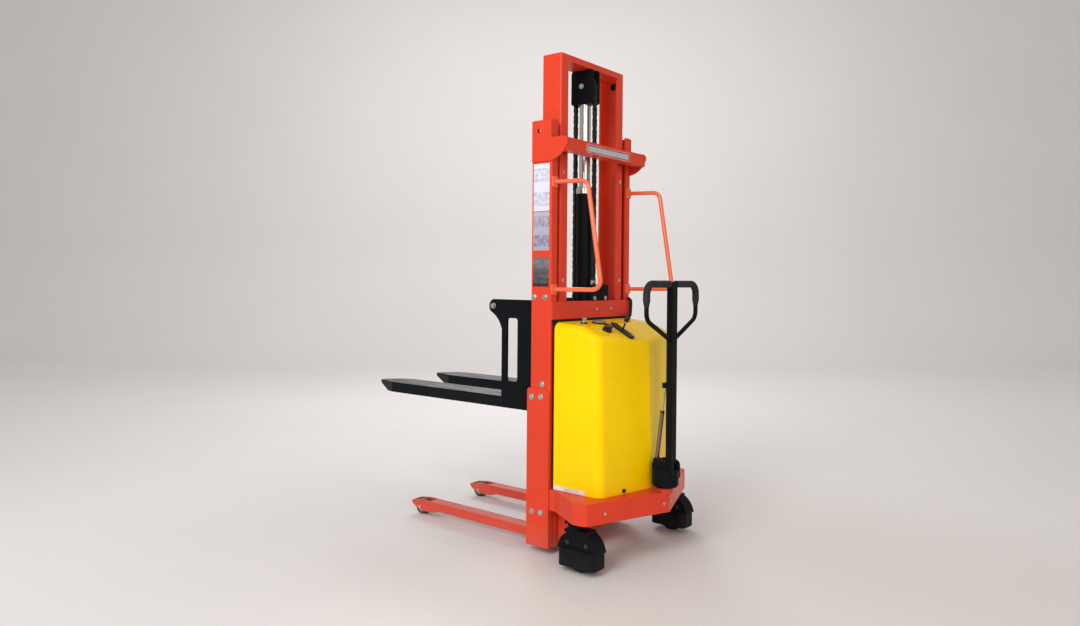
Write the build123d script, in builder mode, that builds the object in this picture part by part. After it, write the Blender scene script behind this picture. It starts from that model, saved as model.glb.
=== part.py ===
from build123d import *

import os
from math import atan2, cos, hypot, sin

# Walkie stacker: a pedestrian lift truck with a two-stage mast, standing part way up.
# +X points along the forks, +Y to the truck's left, +Z up. The origin is on the floor, on the centreline,
# at the rear face of the outer mast. Millimetres, real size.

os.makedirs("parts", exist_ok=True)

# ------------------------------------------------------------------ driving dimensions
MAST_TOP = 1850  # top of the outer mast
MAST_BOTTOM = 30
MAST_HALF = 309  # centreline to the outer face of an outer channel
MAST_DEPTH = 108
PLATE = 5  # thickness of the plates on the mast's sides
LIFT = 280  # how far the inner mast stands above its lowest position
CYLINDER_X = 49.5
CHAIN_RADIUS = 52.5  # pitch radius of the chain on its pulley
FORK_TOP = 86 + 2 * LIFT  # lowered forks stand at 86
FORK_OUTER = 275  # centreline to the outer side of a fork
FORK_WIDTH = 150
FORK_TIP = 1195
LEG_CENTRE = 210
LOAD_WHEEL_X = 866
LOAD_WHEEL_RADIUS = 37
DECK_TOP = 283
DECK_BOTTOM = 196
CASTER_X = -185  # swivel axis
CASTER_Y = 365
CASTER_TRAIL = 27
CASTER_RADIUS = 75
TILLER_X = -408
TILT_Z = 395
TURRET_X = -383

# ------------------------------------------------------------------ sizes that follow
OUTER_FLANGE = 10
OUTER_WEB = 8
OUTER_INSIDE = 268  # centreline to the edge of an outer flange
INNER_REAR = 2
INNER_FRONT = MAST_DEPTH - 2
INNER_HALF = 244  # centreline to the outer face of an inner channel
INNER_INSIDE = 194
INNER_TOP = MAST_TOP + 16 + LIFT
INNER_BOTTOM = 90 + LIFT
INNER_WEB = (236, INNER_HALF)
RAIL_X = MAST_DEPTH / 2  # middle of both rail sections
OUTER_ROLLER = 43.5  # rollers that run in the outer channels
INNER_ROLLER = 41.5  # rollers that run in the inner channels
CORNER = 8  # rounding of the rolled channels
STUD = 12
RUNNING = 0.05  # radial clearance of a shaft in a hole
LEG_TOP = 76
LEG_BOTTOM = 36
LEG_WIDTH = 64
HOOD_FRONT = -14
HOOD_TOP = 990
PULLEY_Z = INNER_TOP - 100
CARRIAGE_FRONT = 303  # load face of the uprights
CROSS_REAR = MAST_DEPTH + 8
CROSS_FRONT = CROSS_REAR + 12
SHAFT_X = 354
SHAFT_RADIUS = 13
SHAFT_Z = FORK_TOP + 404


def side_plane(y):
    """Sketch plane at this y, local x along X and local y along Z; a positive extrusion goes towards -Y."""
    return Plane(origin=(0, y, 0), x_dir=(1, 0, 0), z_dir=(0, -1, 0))


def mirrored(piece):
    """The same piece on the other side of the truck."""
    with BuildPart() as other:
        mirror(piece.part, about=Plane.XZ)
    return other


def save(piece, name):
    piece.part.label = name
    export_step(piece.part, f"parts/{name}.step")


def block(x, y, z, mode=Mode.ADD):
    """Adds a box between pairs of x, y and z limits to the part being built, or cuts it."""
    with Locations(((x[0] + x[1]) / 2, (y[0] + y[1]) / 2, (z[0] + z[1]) / 2)):
        Box(x[1] - x[0], y[1] - y[0], z[1] - z[0], mode=mode)


def bar_across(x, z, radius, y, mode=Mode.ADD):
    """Adds a round bar along Y between two y limits to the part being built, or cuts it."""
    with Locations((x, (y[0] + y[1]) / 2, z)):
        Cylinder(radius, y[1] - y[0], rotation=(90, 0, 0), mode=mode)


def roller(x, z, radius, bore, y, edge=3):
    """A roller on a stud, with its edges eased."""
    with BuildPart() as piece:
        with BuildSketch(side_plane(y[1])):
            with Locations((x, z)):
                Circle(radius)
                Circle(bore + RUNNING, mode=Mode.SUBTRACT)
        extrude(amount=y[1] - y[0])
        chamfer(piece.edges().filter_by(GeomType.CIRCLE).sort_by(SortBy.RADIUS)[-2:], edge)
    return piece


def both_sides(piece):
    """One node holding a piece and its mirror image as two solids."""
    with BuildPart() as pair:
        add(piece.part)
        mirror(piece.part, about=Plane.XZ)
    return pair


# ------------------------------------------------------------------ outer mast
EYE_AT = (68, 1804)  # x and z of the lifting eyes
EYE_RADIUS = 10
with BuildPart() as outer_rail_left:
    with BuildSketch(Plane.XY.offset(MAST_BOTTOM)):
        with Locations((RAIL_X, (OUTER_INSIDE + MAST_HALF) / 2)):
            Rectangle(MAST_DEPTH, MAST_HALF - OUTER_INSIDE)
        with Locations((RAIL_X, (OUTER_INSIDE + MAST_HALF - OUTER_WEB) / 2)):
            Rectangle(
                MAST_DEPTH - 2 * OUTER_FLANGE,
                MAST_HALF - OUTER_WEB - OUTER_INSIDE,
                mode=Mode.SUBTRACT,
            )
    extrude(amount=MAST_TOP - MAST_BOTTOM)
    # lifting eye
    bar_across(*EYE_AT, EYE_RADIUS, (OUTER_INSIDE, MAST_HALF), mode=Mode.SUBTRACT)
    fillet(outer_rail_left.edges().filter_by(Axis.Z).group_by(Axis.Y)[-1], CORNER)
outer_rail_right = mirrored(outer_rail_left)
save(outer_rail_left, "outer_rail_left")
save(outer_rail_right, "outer_rail_right")

# Side plates at the mast top, each with a rounded lobe that reaches back to the crossbar.
CHEEK_TOP = MAST_TOP - 2
CHEEK_BOTTOM = 1673
LOBE_TOP = 1772
LOBE_REAR = -84
with BuildPart() as top_cheek:
    with BuildSketch(side_plane(MAST_HALF + PLATE)):
        with BuildLine():
            Polyline((-62, LOBE_TOP), (0, LOBE_TOP), (0, CHEEK_TOP), (104, CHEEK_TOP), (104, CHEEK_BOTTOM))
            Line((104, CHEEK_BOTTOM), (20, CHEEK_BOTTOM))
            ThreePointArc((20, CHEEK_BOTTOM), (-46, 1694), (LOBE_REAR, 1742))
            ThreePointArc((LOBE_REAR, 1742), (-80, 1764), (-62, LOBE_TOP))
        make_face()
        with Locations(EYE_AT):
            Circle(EYE_RADIUS, mode=Mode.SUBTRACT)
    extrude(amount=PLATE)
save(both_sides(top_cheek), "top_cheeks")

# Side plates of the base, bolted over the lower ends of the channels and standing a little proud of them.
SIDE_PLATE_FRONT = 120
SIDE_PLATE_TOP = 706
with BuildPart() as side_plate:
    with BuildSketch(side_plane(MAST_HALF + PLATE)):
        with BuildLine():
            Polyline((0, 692), (0, MAST_BOTTOM), (SIDE_PLATE_FRONT, MAST_BOTTOM), (SIDE_PLATE_FRONT, 690))
            ThreePointArc((SIDE_PLATE_FRONT, 690), (SIDE_PLATE_FRONT - 5, 702), (104, SIDE_PLATE_TOP))
            Polyline((104, SIDE_PLATE_TOP), (20, SIDE_PLATE_TOP), (0, 692))
        make_face()
    extrude(amount=PLATE)
save(both_sides(side_plate), "side_plates")

# Square tube between the lobes.
BAR_REAR = -80
BAR_DEPTH = 50
BAR_Z = (1712, 1766)
BAR_WALL = 5
with BuildPart() as top_crossbar:
    block((BAR_REAR, BAR_REAR + BAR_DEPTH), (-MAST_HALF, MAST_HALF), BAR_Z)
    block(
        (BAR_REAR + BAR_WALL, BAR_REAR + BAR_DEPTH - BAR_WALL),
        (-MAST_HALF, MAST_HALF),
        (BAR_Z[0] + BAR_WALL, BAR_Z[1] - BAR_WALL),
        mode=Mode.SUBTRACT,
    )
save(top_crossbar, "top_crossbar")

# Blank name plate on the crossbar.
BADGE = (342, 42)
with BuildPart() as badge_plate:
    with BuildSketch(Plane.YZ.offset(BAR_REAR)):
        with Locations((0, (BAR_Z[0] + BAR_Z[1]) / 2 - 3)):
            RectangleRounded(BADGE[0], BADGE[1], 8)
    extrude(amount=-2.5)
save(badge_plate, "badge_plate")

# Beam across the rear faces of the outer mast, above the hood.
BEAM_Z = (1000, 1077)
with BuildPart() as mid_beam:
    block((-10, 0), (-MAST_HALF, MAST_HALF), BEAM_Z)
    chamfer(mid_beam.edges().filter_by(Axis.Y).group_by(Axis.X)[0], 2)
save(mid_beam, "mid_beam")

# Box section that ties the two channels at the floor and carries the cylinder.
FOOT_TOP = 84
with BuildPart() as mast_foot:
    block((0, MAST_DEPTH), (-OUTER_INSIDE, OUTER_INSIDE), (MAST_BOTTOM, FOOT_TOP))
    block(
        (8, MAST_DEPTH - 8),
        (-OUTER_INSIDE, OUTER_INSIDE),
        (MAST_BOTTOM + 8, FOOT_TOP - 8),
        mode=Mode.SUBTRACT,
    )
    # gussets up to the underside of the deck
    for y_top in (246, -240):
        with BuildSketch(side_plane(y_top)):
            Polygon((0, DECK_BOTTOM), (-116, DECK_BOTTOM), (0, MAST_BOTTOM + 4), align=None)
        extrude(amount=6)
save(mast_foot, "mast_foot")

# ------------------------------------------------------------------ floor legs and load rollers
LEG_Y = (LEG_CENTRE - LEG_WIDTH / 2, LEG_CENTRE + LEG_WIDTH / 2)
LEG_WALL = 6
POCKET_REAR = 792
with BuildPart() as leg_left:
    with BuildSketch(side_plane(LEG_Y[1])):
        with BuildLine():
            Polyline((MAST_DEPTH, LEG_BOTTOM), (MAST_DEPTH, LEG_TOP), (846, LEG_TOP), (908, 68))
            ThreePointArc((908, 68), (917, 62), (918, 52))
            Line((918, 52), (905, 42))
            ThreePointArc((905, 42), (872, 28), (835, 22))
            Line((835, 22), (795, 22))
            ThreePointArc((795, 22), (762, 27), (730, LEG_BOTTOM))
            Line((730, LEG_BOTTOM), (MAST_DEPTH, LEG_BOTTOM))
        make_face()
    extrude(amount=LEG_WIDTH)
    # hollow beam, open where it meets the foot
    block(
        (MAST_DEPTH, 780),
        (LEG_Y[0] + LEG_WALL, LEG_Y[1] - LEG_WALL),
        (LEG_BOTTOM + LEG_WALL, LEG_TOP - LEG_WALL),
        mode=Mode.SUBTRACT,
    )
    # pocket for the load roller, open above and below
    block(
        (POCKET_REAR, LOAD_WHEEL_X + LOAD_WHEEL_RADIUS + 4),
        (LEG_CENTRE - 25, LEG_CENTRE + 25),
        (0, LEG_TOP),
        mode=Mode.SUBTRACT,
    )
    bar_across(LOAD_WHEEL_X, LOAD_WHEEL_RADIUS, 8 + RUNNING, LEG_Y, mode=Mode.SUBTRACT)
save(leg_left, "leg_left")
save(mirrored(leg_left), "leg_right")

with BuildPart() as load_axle:
    bar_across(LOAD_WHEEL_X, LOAD_WHEEL_RADIUS, 8, LEG_Y)
save(both_sides(load_axle), "load_axles")
load_wheel = roller(
    LOAD_WHEEL_X,
    LOAD_WHEEL_RADIUS,
    LOAD_WHEEL_RADIUS,
    8,
    (LEG_CENTRE - 22, LEG_CENTRE + 22),
)
save(load_wheel, "load_wheel_left")
save(mirrored(load_wheel), "load_wheel_right")

# ------------------------------------------------------------------ deck
DECK_CORNER = (-258, 404)
DECK_APEX = (-405, 0)
DECK_WALL = 6
BOSS_HEIGHT = 17  # of the seat under the tiller turret
KINGPIN = 14
DECK_OUTLINE = [(0, 309), (-36, 313), (-200, 412), DECK_CORNER, DECK_APEX]
with BuildPart() as deck:
    with BuildSketch(Plane.XY.offset(DECK_BOTTOM)) as deck_plan:
        with BuildLine():
            Polyline(DECK_OUTLINE)
            Line((0, 309), (0, 0))
            mirror(about=Plane.XZ)
        make_face()
        fillet(deck_plan.vertices().filter_by(lambda v: v.X == -200), 28)
        fillet(deck_plan.vertices().filter_by(lambda v: v.X == DECK_CORNER[0]), 22)
        fillet(deck_plan.vertices().filter_by(lambda v: v.X == DECK_APEX[0]), 10)
    extrude(amount=DECK_TOP - DECK_BOTTOM)
    fillet(deck.faces().sort_by(Axis.Z)[-1].edges().filter_by(lambda e: e.center().X < -1), 5)
    # open underside
    with BuildSketch(Plane.XY.offset(DECK_BOTTOM)):
        offset(deck_plan.sketch_local, amount=-DECK_WALL, kind=Kind.INTERSECTION)
    extrude(amount=DECK_TOP - DECK_BOTTOM - DECK_WALL, mode=Mode.SUBTRACT)
    # blocks that carry the casters
    with BuildSketch(Plane.XY.offset(DECK_BOTTOM)):
        with Locations((CASTER_X - 10, CASTER_Y - 20), (CASTER_X - 10, 20 - CASTER_Y)):
            Rectangle(60, 50)
    extrude(amount=DECK_TOP - DECK_BOTTOM - DECK_WALL)
    # boss and kingpin of the tiller turret
    with BuildSketch(Plane.XY.offset(DECK_TOP - DECK_WALL)):
        with Locations((TURRET_X, 0)):
            Circle(32)
    extrude(amount=DECK_WALL + BOSS_HEIGHT)
    with BuildSketch(Plane.XY.offset(DECK_TOP)):
        with Locations((TURRET_X, 0)):
            Circle(KINGPIN)
    extrude(amount=50)
save(deck, "deck")

# ------------------------------------------------------------------ casters
CASTER_WHEEL_X = CASTER_X - CASTER_TRAIL
GUARD = (180, 102)
GUARD_Z = (26, 98)
GUARD_WALL = 10
FENDER = 97  # radius of the fender over the wheel
CROWN_Z = (158, 170)
CASTER_PLATE = 9
ARM = (28, 35)  # inner and outer face of a fork arm, from the wheel's middle
with BuildPart() as caster_plate:
    with BuildSketch(Plane.XY.offset(DECK_BOTTOM - CASTER_PLATE)):
        with Locations((CASTER_X, CASTER_Y - 10)):
            RectangleRounded(90, 64, 6)
    extrude(amount=CASTER_PLATE)
    with BuildSketch(Plane.XY.offset(DECK_BOTTOM - CASTER_PLATE)):
        with Locations((CASTER_X, CASTER_Y)):
            Circle(8)
    extrude(amount=-14)
save(both_sides(caster_plate), "caster_plates")

with BuildPart() as caster_fork_left:
    # swivel head
    with BuildSketch(Plane.XY.offset(CROWN_Z[1])):
        with Locations((CASTER_X, CASTER_Y)):
            Circle(34)
    extrude(amount=DECK_BOTTOM - CASTER_PLATE - 1 - CROWN_Z[1])
    # crown over the wheel
    block(
        (CASTER_WHEEL_X - 48, CASTER_X + 34),
        (CASTER_Y - ARM[1], CASTER_Y + ARM[1]),
        CROWN_Z,
    )
    # cheeks of the fender, with a tongue down to the axle
    for y_top in (CASTER_Y + ARM[1], CASTER_Y - ARM[0]):
        with BuildSketch(side_plane(y_top)):
            with Locations((CASTER_WHEEL_X, CASTER_RADIUS)):
                Circle(FENDER)
            with Locations((CASTER_WHEEL_X, (CROWN_Z[1] + GUARD_Z[1] - 8) / 2)):
                Rectangle(2 * FENDER, CROWN_Z[1] - GUARD_Z[1] + 8, mode=Mode.INTERSECT)
            with Locations((CASTER_WHEEL_X, CASTER_RADIUS)):
                Circle(22)
        extrude(amount=ARM[1] - ARM[0])
    # shell of the fender
    with BuildSketch(side_plane(CASTER_Y + ARM[0])):
        with Locations((CASTER_WHEEL_X, CASTER_RADIUS)):
            Circle(FENDER)
        with Locations((CASTER_WHEEL_X, (CROWN_Z[1] + GUARD_Z[1] - 8) / 2)):
            Rectangle(2 * FENDER, CROWN_Z[1] - GUARD_Z[1] + 8, mode=Mode.INTERSECT)
        with Locations((CASTER_WHEEL_X, CASTER_RADIUS)):
            Circle(FENDER - 6, mode=Mode.SUBTRACT)
    extrude(amount=2 * ARM[0])
    # foot guard round the wheel, carried by blocks on the cheeks
    with BuildSketch(Plane.XY.offset(GUARD_Z[0])):
        with Locations((CASTER_WHEEL_X, CASTER_Y)):
            RectangleRounded(GUARD[0], GUARD[1], 28)
            RectangleRounded(GUARD[0] - 2 * GUARD_WALL, GUARD[1] - 2 * GUARD_WALL, 18, mode=Mode.SUBTRACT)
    extrude(amount=GUARD_Z[1] - GUARD_Z[0])
    for y_side in (1, -1):
        y_block = sorted((CASTER_Y + y_side * ARM[1], CASTER_Y + y_side * (GUARD[1] / 2 - GUARD_WALL)))
        block((CASTER_WHEEL_X - 35, CASTER_WHEEL_X + 35), y_block, (64, 94))
    # axle bolt, and the hole for the swivel stud
    bar_across(CASTER_WHEEL_X, CASTER_RADIUS, 10, (CASTER_Y - ARM[1] - 3, CASTER_Y + ARM[1] + 3))
    with BuildSketch(Plane.XY.offset(CROWN_Z[0])):
        with Locations((CASTER_X, CASTER_Y)):
            Circle(8 + RUNNING)
    extrude(amount=DECK_BOTTOM - CROWN_Z[0], mode=Mode.SUBTRACT)
save(caster_fork_left, "caster_fork_left")
save(mirrored(caster_fork_left), "caster_fork_right")

caster_axle = (CASTER_WHEEL_X, CASTER_Y, CASTER_RADIUS)
with BuildPart() as caster_wheel_left:
    with BuildSketch(Plane(origin=caster_axle, x_dir=(0, 1, 0), z_dir=(1, 0, 0))):
        # half section of tyre, rim and hub, across the axle
        with BuildLine():
            Polyline(
                (-27, 10 + RUNNING),
                (27, 10 + RUNNING),
                (27, 20),
                (12, 24),
                (12, 48),
                (22, 54),
                (23, 70),
                (14, CASTER_RADIUS),
                (-14, CASTER_RADIUS),
                (-23, 70),
                (-22, 54),
                (-12, 48),
                (-12, 24),
                (-27, 20),
                close=True,
            )
        make_face()
    revolve(axis=Axis(caster_axle, (0, 1, 0)))
save(caster_wheel_left, "caster_wheel_left")
save(mirrored(caster_wheel_left), "caster_wheel_right")

# ------------------------------------------------------------------ grab rails
RAIL_TUBE = 9.5
RAIL_Y = 289
with BuildPart() as grab_rail:
    with BuildLine() as rail_path:
        FilletPolyline(
            (-4, RAIL_Y, 1586),
            (-172, RAIL_Y, 1580),
            (-246, RAIL_Y, 1131),
            (-4, RAIL_Y, 1129),
            radius=38,
        )
    with BuildSketch(Plane(origin=rail_path.line @ 0, z_dir=rail_path.line % 0)):
        Circle(RAIL_TUBE)
    sweep()
    for z_foot in (1586, 1129):
        with BuildSketch(Plane.YZ.offset(-6)):
            with Locations((RAIL_Y, z_foot)):
                RectangleRounded(34, 46, 5)
        extrude(amount=6)
save(both_sides(grab_rail), "grab_rails")

# ------------------------------------------------------------------ fasteners
BOLT_RADIUS = 10
BOLT_HEAD = 5
SIDE_BOLTS = [(89, 1095), (31, 1095), (42, 724), (95, 668), (45, 671), (88, 177), (41, 178)]
with BuildPart() as mast_bolts:
    for x_bolt, z_bolt in SIDE_BOLTS:
        # the lower ones sit on the side plates
        seat = MAST_HALF + PLATE if z_bolt < SIDE_PLATE_TOP else MAST_HALF
        for y_top in (seat + BOLT_HEAD, -seat):
            with BuildSketch(side_plane(y_top)):
                with Locations((x_bolt, z_bolt)):
                    RegularPolygon(BOLT_RADIUS, 6)
            extrude(amount=BOLT_HEAD)
    # screws of the middle beam
    with BuildSketch(Plane.YZ.offset(-14)):
        with Locations((-18, 1039), (-133, 1039)):
            Circle(7)
    extrude(amount=4)
save(mast_bolts, "mast_bolts")

# ------------------------------------------------------------------ lifting cylinder
BARREL = 36
BORE = 30
ROD = 25
BARREL_TOP = 1561
PISTON_Z = 95 + LIFT
RAM_HEAD_Z = INNER_TOP - 181
with BuildPart() as cylinder_barrel:
    with BuildSketch(Plane.XY.offset(FOOT_TOP)):
        with Locations((CYLINDER_X, 0)):
            Circle(BARREL)
    extrude(amount=BARREL_TOP - FOOT_TOP)
    with BuildSketch(Plane.XY.offset(FOOT_TOP + 8)):
        with Locations((CYLINDER_X, 0)):
            Circle(BORE)
    extrude(amount=BARREL_TOP - FOOT_TOP - 8, mode=Mode.SUBTRACT)
save(cylinder_barrel, "cylinder_barrel")

with BuildPart() as cylinder_gland:
    with BuildSketch(Plane.XY.offset(BARREL_TOP)):
        with Locations((CYLINDER_X, 0)):
            Circle(39)
            Circle(ROD + RUNNING, mode=Mode.SUBTRACT)
    extrude(amount=30)
    chamfer(cylinder_gland.faces().sort_by(Axis.Z)[-1].edges().sort_by(SortBy.RADIUS)[-1], 4)
save(cylinder_gland, "cylinder_gland")

with BuildPart() as piston_rod:
    with BuildSketch(Plane.XY.offset(PISTON_Z)):
        with Locations((CYLINDER_X, 0)):
            Circle(BORE - RUNNING)
    extrude(amount=30)
    with BuildSketch(Plane.XY.offset(PISTON_Z)):
        with Locations((CYLINDER_X, 0)):
            Circle(ROD)
    extrude(amount=RAM_HEAD_Z - PISTON_Z)
save(piston_rod, "piston_rod")

# ------------------------------------------------------------------ ram head, pulley and chain
HEAD_X = (CYLINDER_X - 59.5, CYLINDER_X + 59.5)
HEAD_TOP = INNER_TOP - 27
PIN = 12
CHAIN_HALF = 11  # half the width of the chain
CHAIN_EDGE = 6.2  # half the height of a link plate
PULLEY_HALF = 15
CHEEK_Y = (17, 28)  # faces of the ram head's cheeks
GROOVE = CHAIN_RADIUS - CHAIN_EDGE - 0.2  # radius of the groove under the chain
with BuildPart() as ram_head:
    block((CYLINDER_X - 42, CYLINDER_X + 42), (-CHEEK_Y[0], CHEEK_Y[0]), (RAM_HEAD_Z, RAM_HEAD_Z + 16))
    for y_top in (CHEEK_Y[1], -CHEEK_Y[0]):
        with BuildSketch(side_plane(y_top)):
            with Locations((CYLINDER_X, (RAM_HEAD_Z + HEAD_TOP) / 2)):
                RectangleRounded(HEAD_X[1] - HEAD_X[0], HEAD_TOP - RAM_HEAD_Z, 12)
        extrude(amount=CHEEK_Y[1] - CHEEK_Y[0])
    bar_across(CYLINDER_X, PULLEY_Z, PIN + RUNNING, (-CHEEK_Y[1], CHEEK_Y[1]), mode=Mode.SUBTRACT)
save(ram_head, "ram_head")

with BuildPart() as pulley_pin:
    bar_across(CYLINDER_X, PULLEY_Z, PIN, (-CHEEK_Y[1] - 5, CHEEK_Y[1] + 5))
save(pulley_pin, "pulley_pin")

with BuildPart() as chain_pulley:
    with BuildSketch(side_plane(PULLEY_HALF)):
        with Locations((CYLINDER_X, PULLEY_Z)):
            Circle(56)
    extrude(amount=2 * PULLEY_HALF)
    with BuildSketch(side_plane(CHAIN_HALF + 1)):
        with Locations((CYLINDER_X, PULLEY_Z)):
            Circle(60)
            Circle(GROOVE, mode=Mode.SUBTRACT)
    extrude(amount=2 * CHAIN_HALF + 2, mode=Mode.SUBTRACT)
    with BuildSketch(side_plane(PULLEY_HALF)):
        with Locations((CYLINDER_X, PULLEY_Z)):
            Circle(PIN + RUNNING)
            with PolarLocations(29, 6):
                Circle(7)
    extrude(amount=2 * PULLEY_HALF, mode=Mode.SUBTRACT)
save(chain_pulley, "chain_pulley")

LINK = 25.4  # chain pitch
ANCHOR_TOP = BEAM_Z[1] + 73
LUG_TOP = FORK_TOP + 119


def chain_run(x, z):
    """A straight run of leaf chain: overlapping plates give it a scalloped edge."""
    count = int((z[1] - z[0]) / LINK)
    with BuildPart() as run:
        with BuildSketch(side_plane(CHAIN_HALF)):
            with Locations((x, (z[0] + z[1]) / 2)):
                Rectangle(8.4, z[1] - z[0])  # waist between the pins
            for i in range(count):
                with Locations((x, z[1] - 7 - LINK * i)):
                    Circle(CHAIN_EDGE)
        extrude(amount=2 * CHAIN_HALF)
    return run


save(chain_run(CYLINDER_X - CHAIN_RADIUS, (ANCHOR_TOP, PULLEY_Z)), "chain_rear_run")
save(chain_run(CYLINDER_X + CHAIN_RADIUS, (LUG_TOP, PULLEY_Z)), "chain_front_run")

with BuildPart() as chain_wrap:
    with BuildSketch(side_plane(CHAIN_HALF)):
        with Locations((CYLINDER_X, PULLEY_Z)):
            Circle(CHAIN_RADIUS + CHAIN_EDGE)
            Circle(GROOVE + 0.1, mode=Mode.SUBTRACT)
        with Locations((CYLINDER_X, PULLEY_Z - 50)):
            Rectangle(140, 100, mode=Mode.SUBTRACT)
    extrude(amount=2 * CHAIN_HALF)
save(chain_wrap, "chain_wrap")

# Plate on the middle beam that holds the rear end of the chain.
with BuildPart() as chain_anchor:
    block((-10, 4), (-112, 24), (BEAM_Z[1], ANCHOR_TOP))
    fillet(chain_anchor.edges().filter_by(Axis.X).group_by(Axis.Z)[-1], 12)
save(chain_anchor, "chain_anchor")

# ------------------------------------------------------------------ inner mast
with BuildPart() as inner_rail_left:
    with BuildSketch(Plane.XY.offset(INNER_BOTTOM)):
        with Locations((RAIL_X, (INNER_INSIDE + INNER_HALF) / 2)):
            Rectangle(INNER_FRONT - INNER_REAR, INNER_HALF - INNER_INSIDE)
        with Locations((RAIL_X, (INNER_INSIDE + INNER_WEB[0]) / 2)):
            Rectangle(INNER_FRONT - INNER_REAR - 20, INNER_WEB[0] - INNER_INSIDE, mode=Mode.SUBTRACT)
    extrude(amount=INNER_TOP - INNER_BOTTOM)
    fillet(inner_rail_left.edges().filter_by(Axis.Z).group_by(Axis.Y)[-1], CORNER)
save(inner_rail_left, "inner_rail_left")
save(mirrored(inner_rail_left), "inner_rail_right")

with BuildPart() as inner_ties:
    # head beam over the ram
    block((INNER_REAR, INNER_FRONT), (-INNER_INSIDE, INNER_INSIDE), (HEAD_TOP, INNER_TOP))
    # flat tie at the bottom, between the cylinder and the chain's rear run
    block((6, 12), (-INNER_INSIDE, INNER_INSIDE), (INNER_BOTTOM, INNER_BOTTOM + 60))
save(inner_ties, "inner_ties")

# ------------------------------------------------------------------ guides and rollers between the masts
GUIDE_Z = (1716, 1760)
GUIDE_GAP = 0.4
with BuildPart() as top_guide:
    # strap on the front of the outer channel, with its pad
    block((MAST_DEPTH, MAST_DEPTH + 3.5), (200, 300), GUIDE_Z)
    block((INNER_FRONT + GUIDE_GAP, MAST_DEPTH), (200, 262), GUIDE_Z)
    # pad on the crossbar
    block((BAR_REAR + BAR_DEPTH, INNER_REAR - GUIDE_GAP), (205, 240), GUIDE_Z)
save(both_sides(top_guide), "top_guides")

BOTTOM_ROLLER_Z = INNER_BOTTOM + 50
with BuildPart() as bottom_stud:
    bar_across(RAIL_X, BOTTOM_ROLLER_Z, STUD, (INNER_WEB[1], MAST_HALF - OUTER_WEB - 2))
save(both_sides(bottom_stud), "bottom_roller_studs")
bottom_roller = roller(RAIL_X, BOTTOM_ROLLER_Z, OUTER_ROLLER, STUD, (273, MAST_HALF - OUTER_WEB - 3))
save(both_sides(bottom_roller), "bottom_rollers")

# ------------------------------------------------------------------ carriage
UPPER_ROLLER_Z = FORK_TOP + 300
LOWER_ROLLER_Z = FORK_TOP + 104
PLATE_Y = (182, 190)
UPRIGHT_WALL = 12
SHANK_INSIDE = FORK_OUTER - UPRIGHT_WALL
ROLLER_Y = (INNER_WEB[0] - 34, INNER_WEB[0] - 6)
with BuildPart() as carriage_frame:
    for side in (1, -1):
        y_plate = sorted((side * PLATE_Y[0], side * PLATE_Y[1]))
        block((22, CROSS_REAR), y_plate, (FORK_TOP + 48, FORK_TOP + 352))
    for z_low, z_high in ((FORK_TOP - 5, FORK_TOP + 114), (FORK_TOP + 340, FORK_TOP + 414)):
        block((CROSS_REAR, CROSS_FRONT), (-SHANK_INSIDE, SHANK_INSIDE), (z_low, z_high))
    for side in (1, -1):
        y_strip = sorted((side * 166, side * 194))
        block((CROSS_REAR, CROSS_FRONT), y_strip, (FORK_TOP + 100, FORK_TOP + 350))
        for z_stud in (LOWER_ROLLER_Z, UPPER_ROLLER_Z):
            y_stud = sorted((side * PLATE_Y[1], side * (ROLLER_Y[1] + 2)))
            bar_across(RAIL_X, z_stud, STUD, y_stud)
    # lug for the front end of the chain
    block((CYLINDER_X + CHAIN_RADIUS - 8, CROSS_REAR), (-14, 14), (LUG_TOP - 34, LUG_TOP))
save(carriage_frame, "carriage_frame")

upper_roller = roller(RAIL_X, UPPER_ROLLER_Z, INNER_ROLLER, STUD, ROLLER_Y)
save(both_sides(upper_roller), "carriage_rollers_upper")
lower_roller = roller(RAIL_X, LOWER_ROLLER_Z, INNER_ROLLER, STUD, ROLLER_Y)
save(both_sides(lower_roller), "carriage_rollers_lower")

FORK_CENTRE = FORK_OUTER - FORK_WIDTH / 2
FORK_DEPTH = 50
FORK_WALL = 7
TAPER_START = 1040
TIP_HALF = 24

# Upright side plate with its window and the lobe that holds the cross shaft.
UPRIGHT_REAR = MAST_DEPTH + 4
UPRIGHT_TOP = SHAFT_Z + 30
with BuildPart() as upright_left:
    with BuildSketch(side_plane(FORK_OUTER)):
        with BuildLine():
            Polyline(
                (CARRIAGE_FRONT, SHAFT_Z - 105),
                (CARRIAGE_FRONT, FORK_TOP - FORK_DEPTH),
                (UPRIGHT_REAR, FORK_TOP - FORK_DEPTH),
                (UPRIGHT_REAR, UPRIGHT_TOP),
                (SHAFT_X, UPRIGHT_TOP),
            )
            ThreePointArc((SHAFT_X, UPRIGHT_TOP), (SHAFT_X + 25, SHAFT_Z + 4), (SHAFT_X + 12, SHAFT_Z - 28))
            ThreePointArc(
                (SHAFT_X + 12, SHAFT_Z - 28),
                (SHAFT_X - 30, SHAFT_Z - 62),
                (CARRIAGE_FRONT, SHAFT_Z - 105),
            )
        make_face()
        with Locations((242, FORK_TOP + 211)):
            RectangleRounded(63, 281, 12, mode=Mode.SUBTRACT)
        with Locations((SHAFT_X, SHAFT_Z)):
            Circle(SHAFT_RADIUS + RUNNING, mode=Mode.SUBTRACT)
    extrude(amount=UPRIGHT_WALL)
save(upright_left, "upright_left")
save(mirrored(upright_left), "upright_right")

SHAFT_END = 11
with BuildPart() as tie_shaft:
    bar_across(SHAFT_X, SHAFT_Z, SHAFT_RADIUS, (-FORK_OUTER, FORK_OUTER))
    bar_across(SHAFT_X, SHAFT_Z, SHAFT_END, (-FORK_OUTER - 8, FORK_OUTER + 8))
save(tie_shaft, "tie_shaft")

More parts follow.
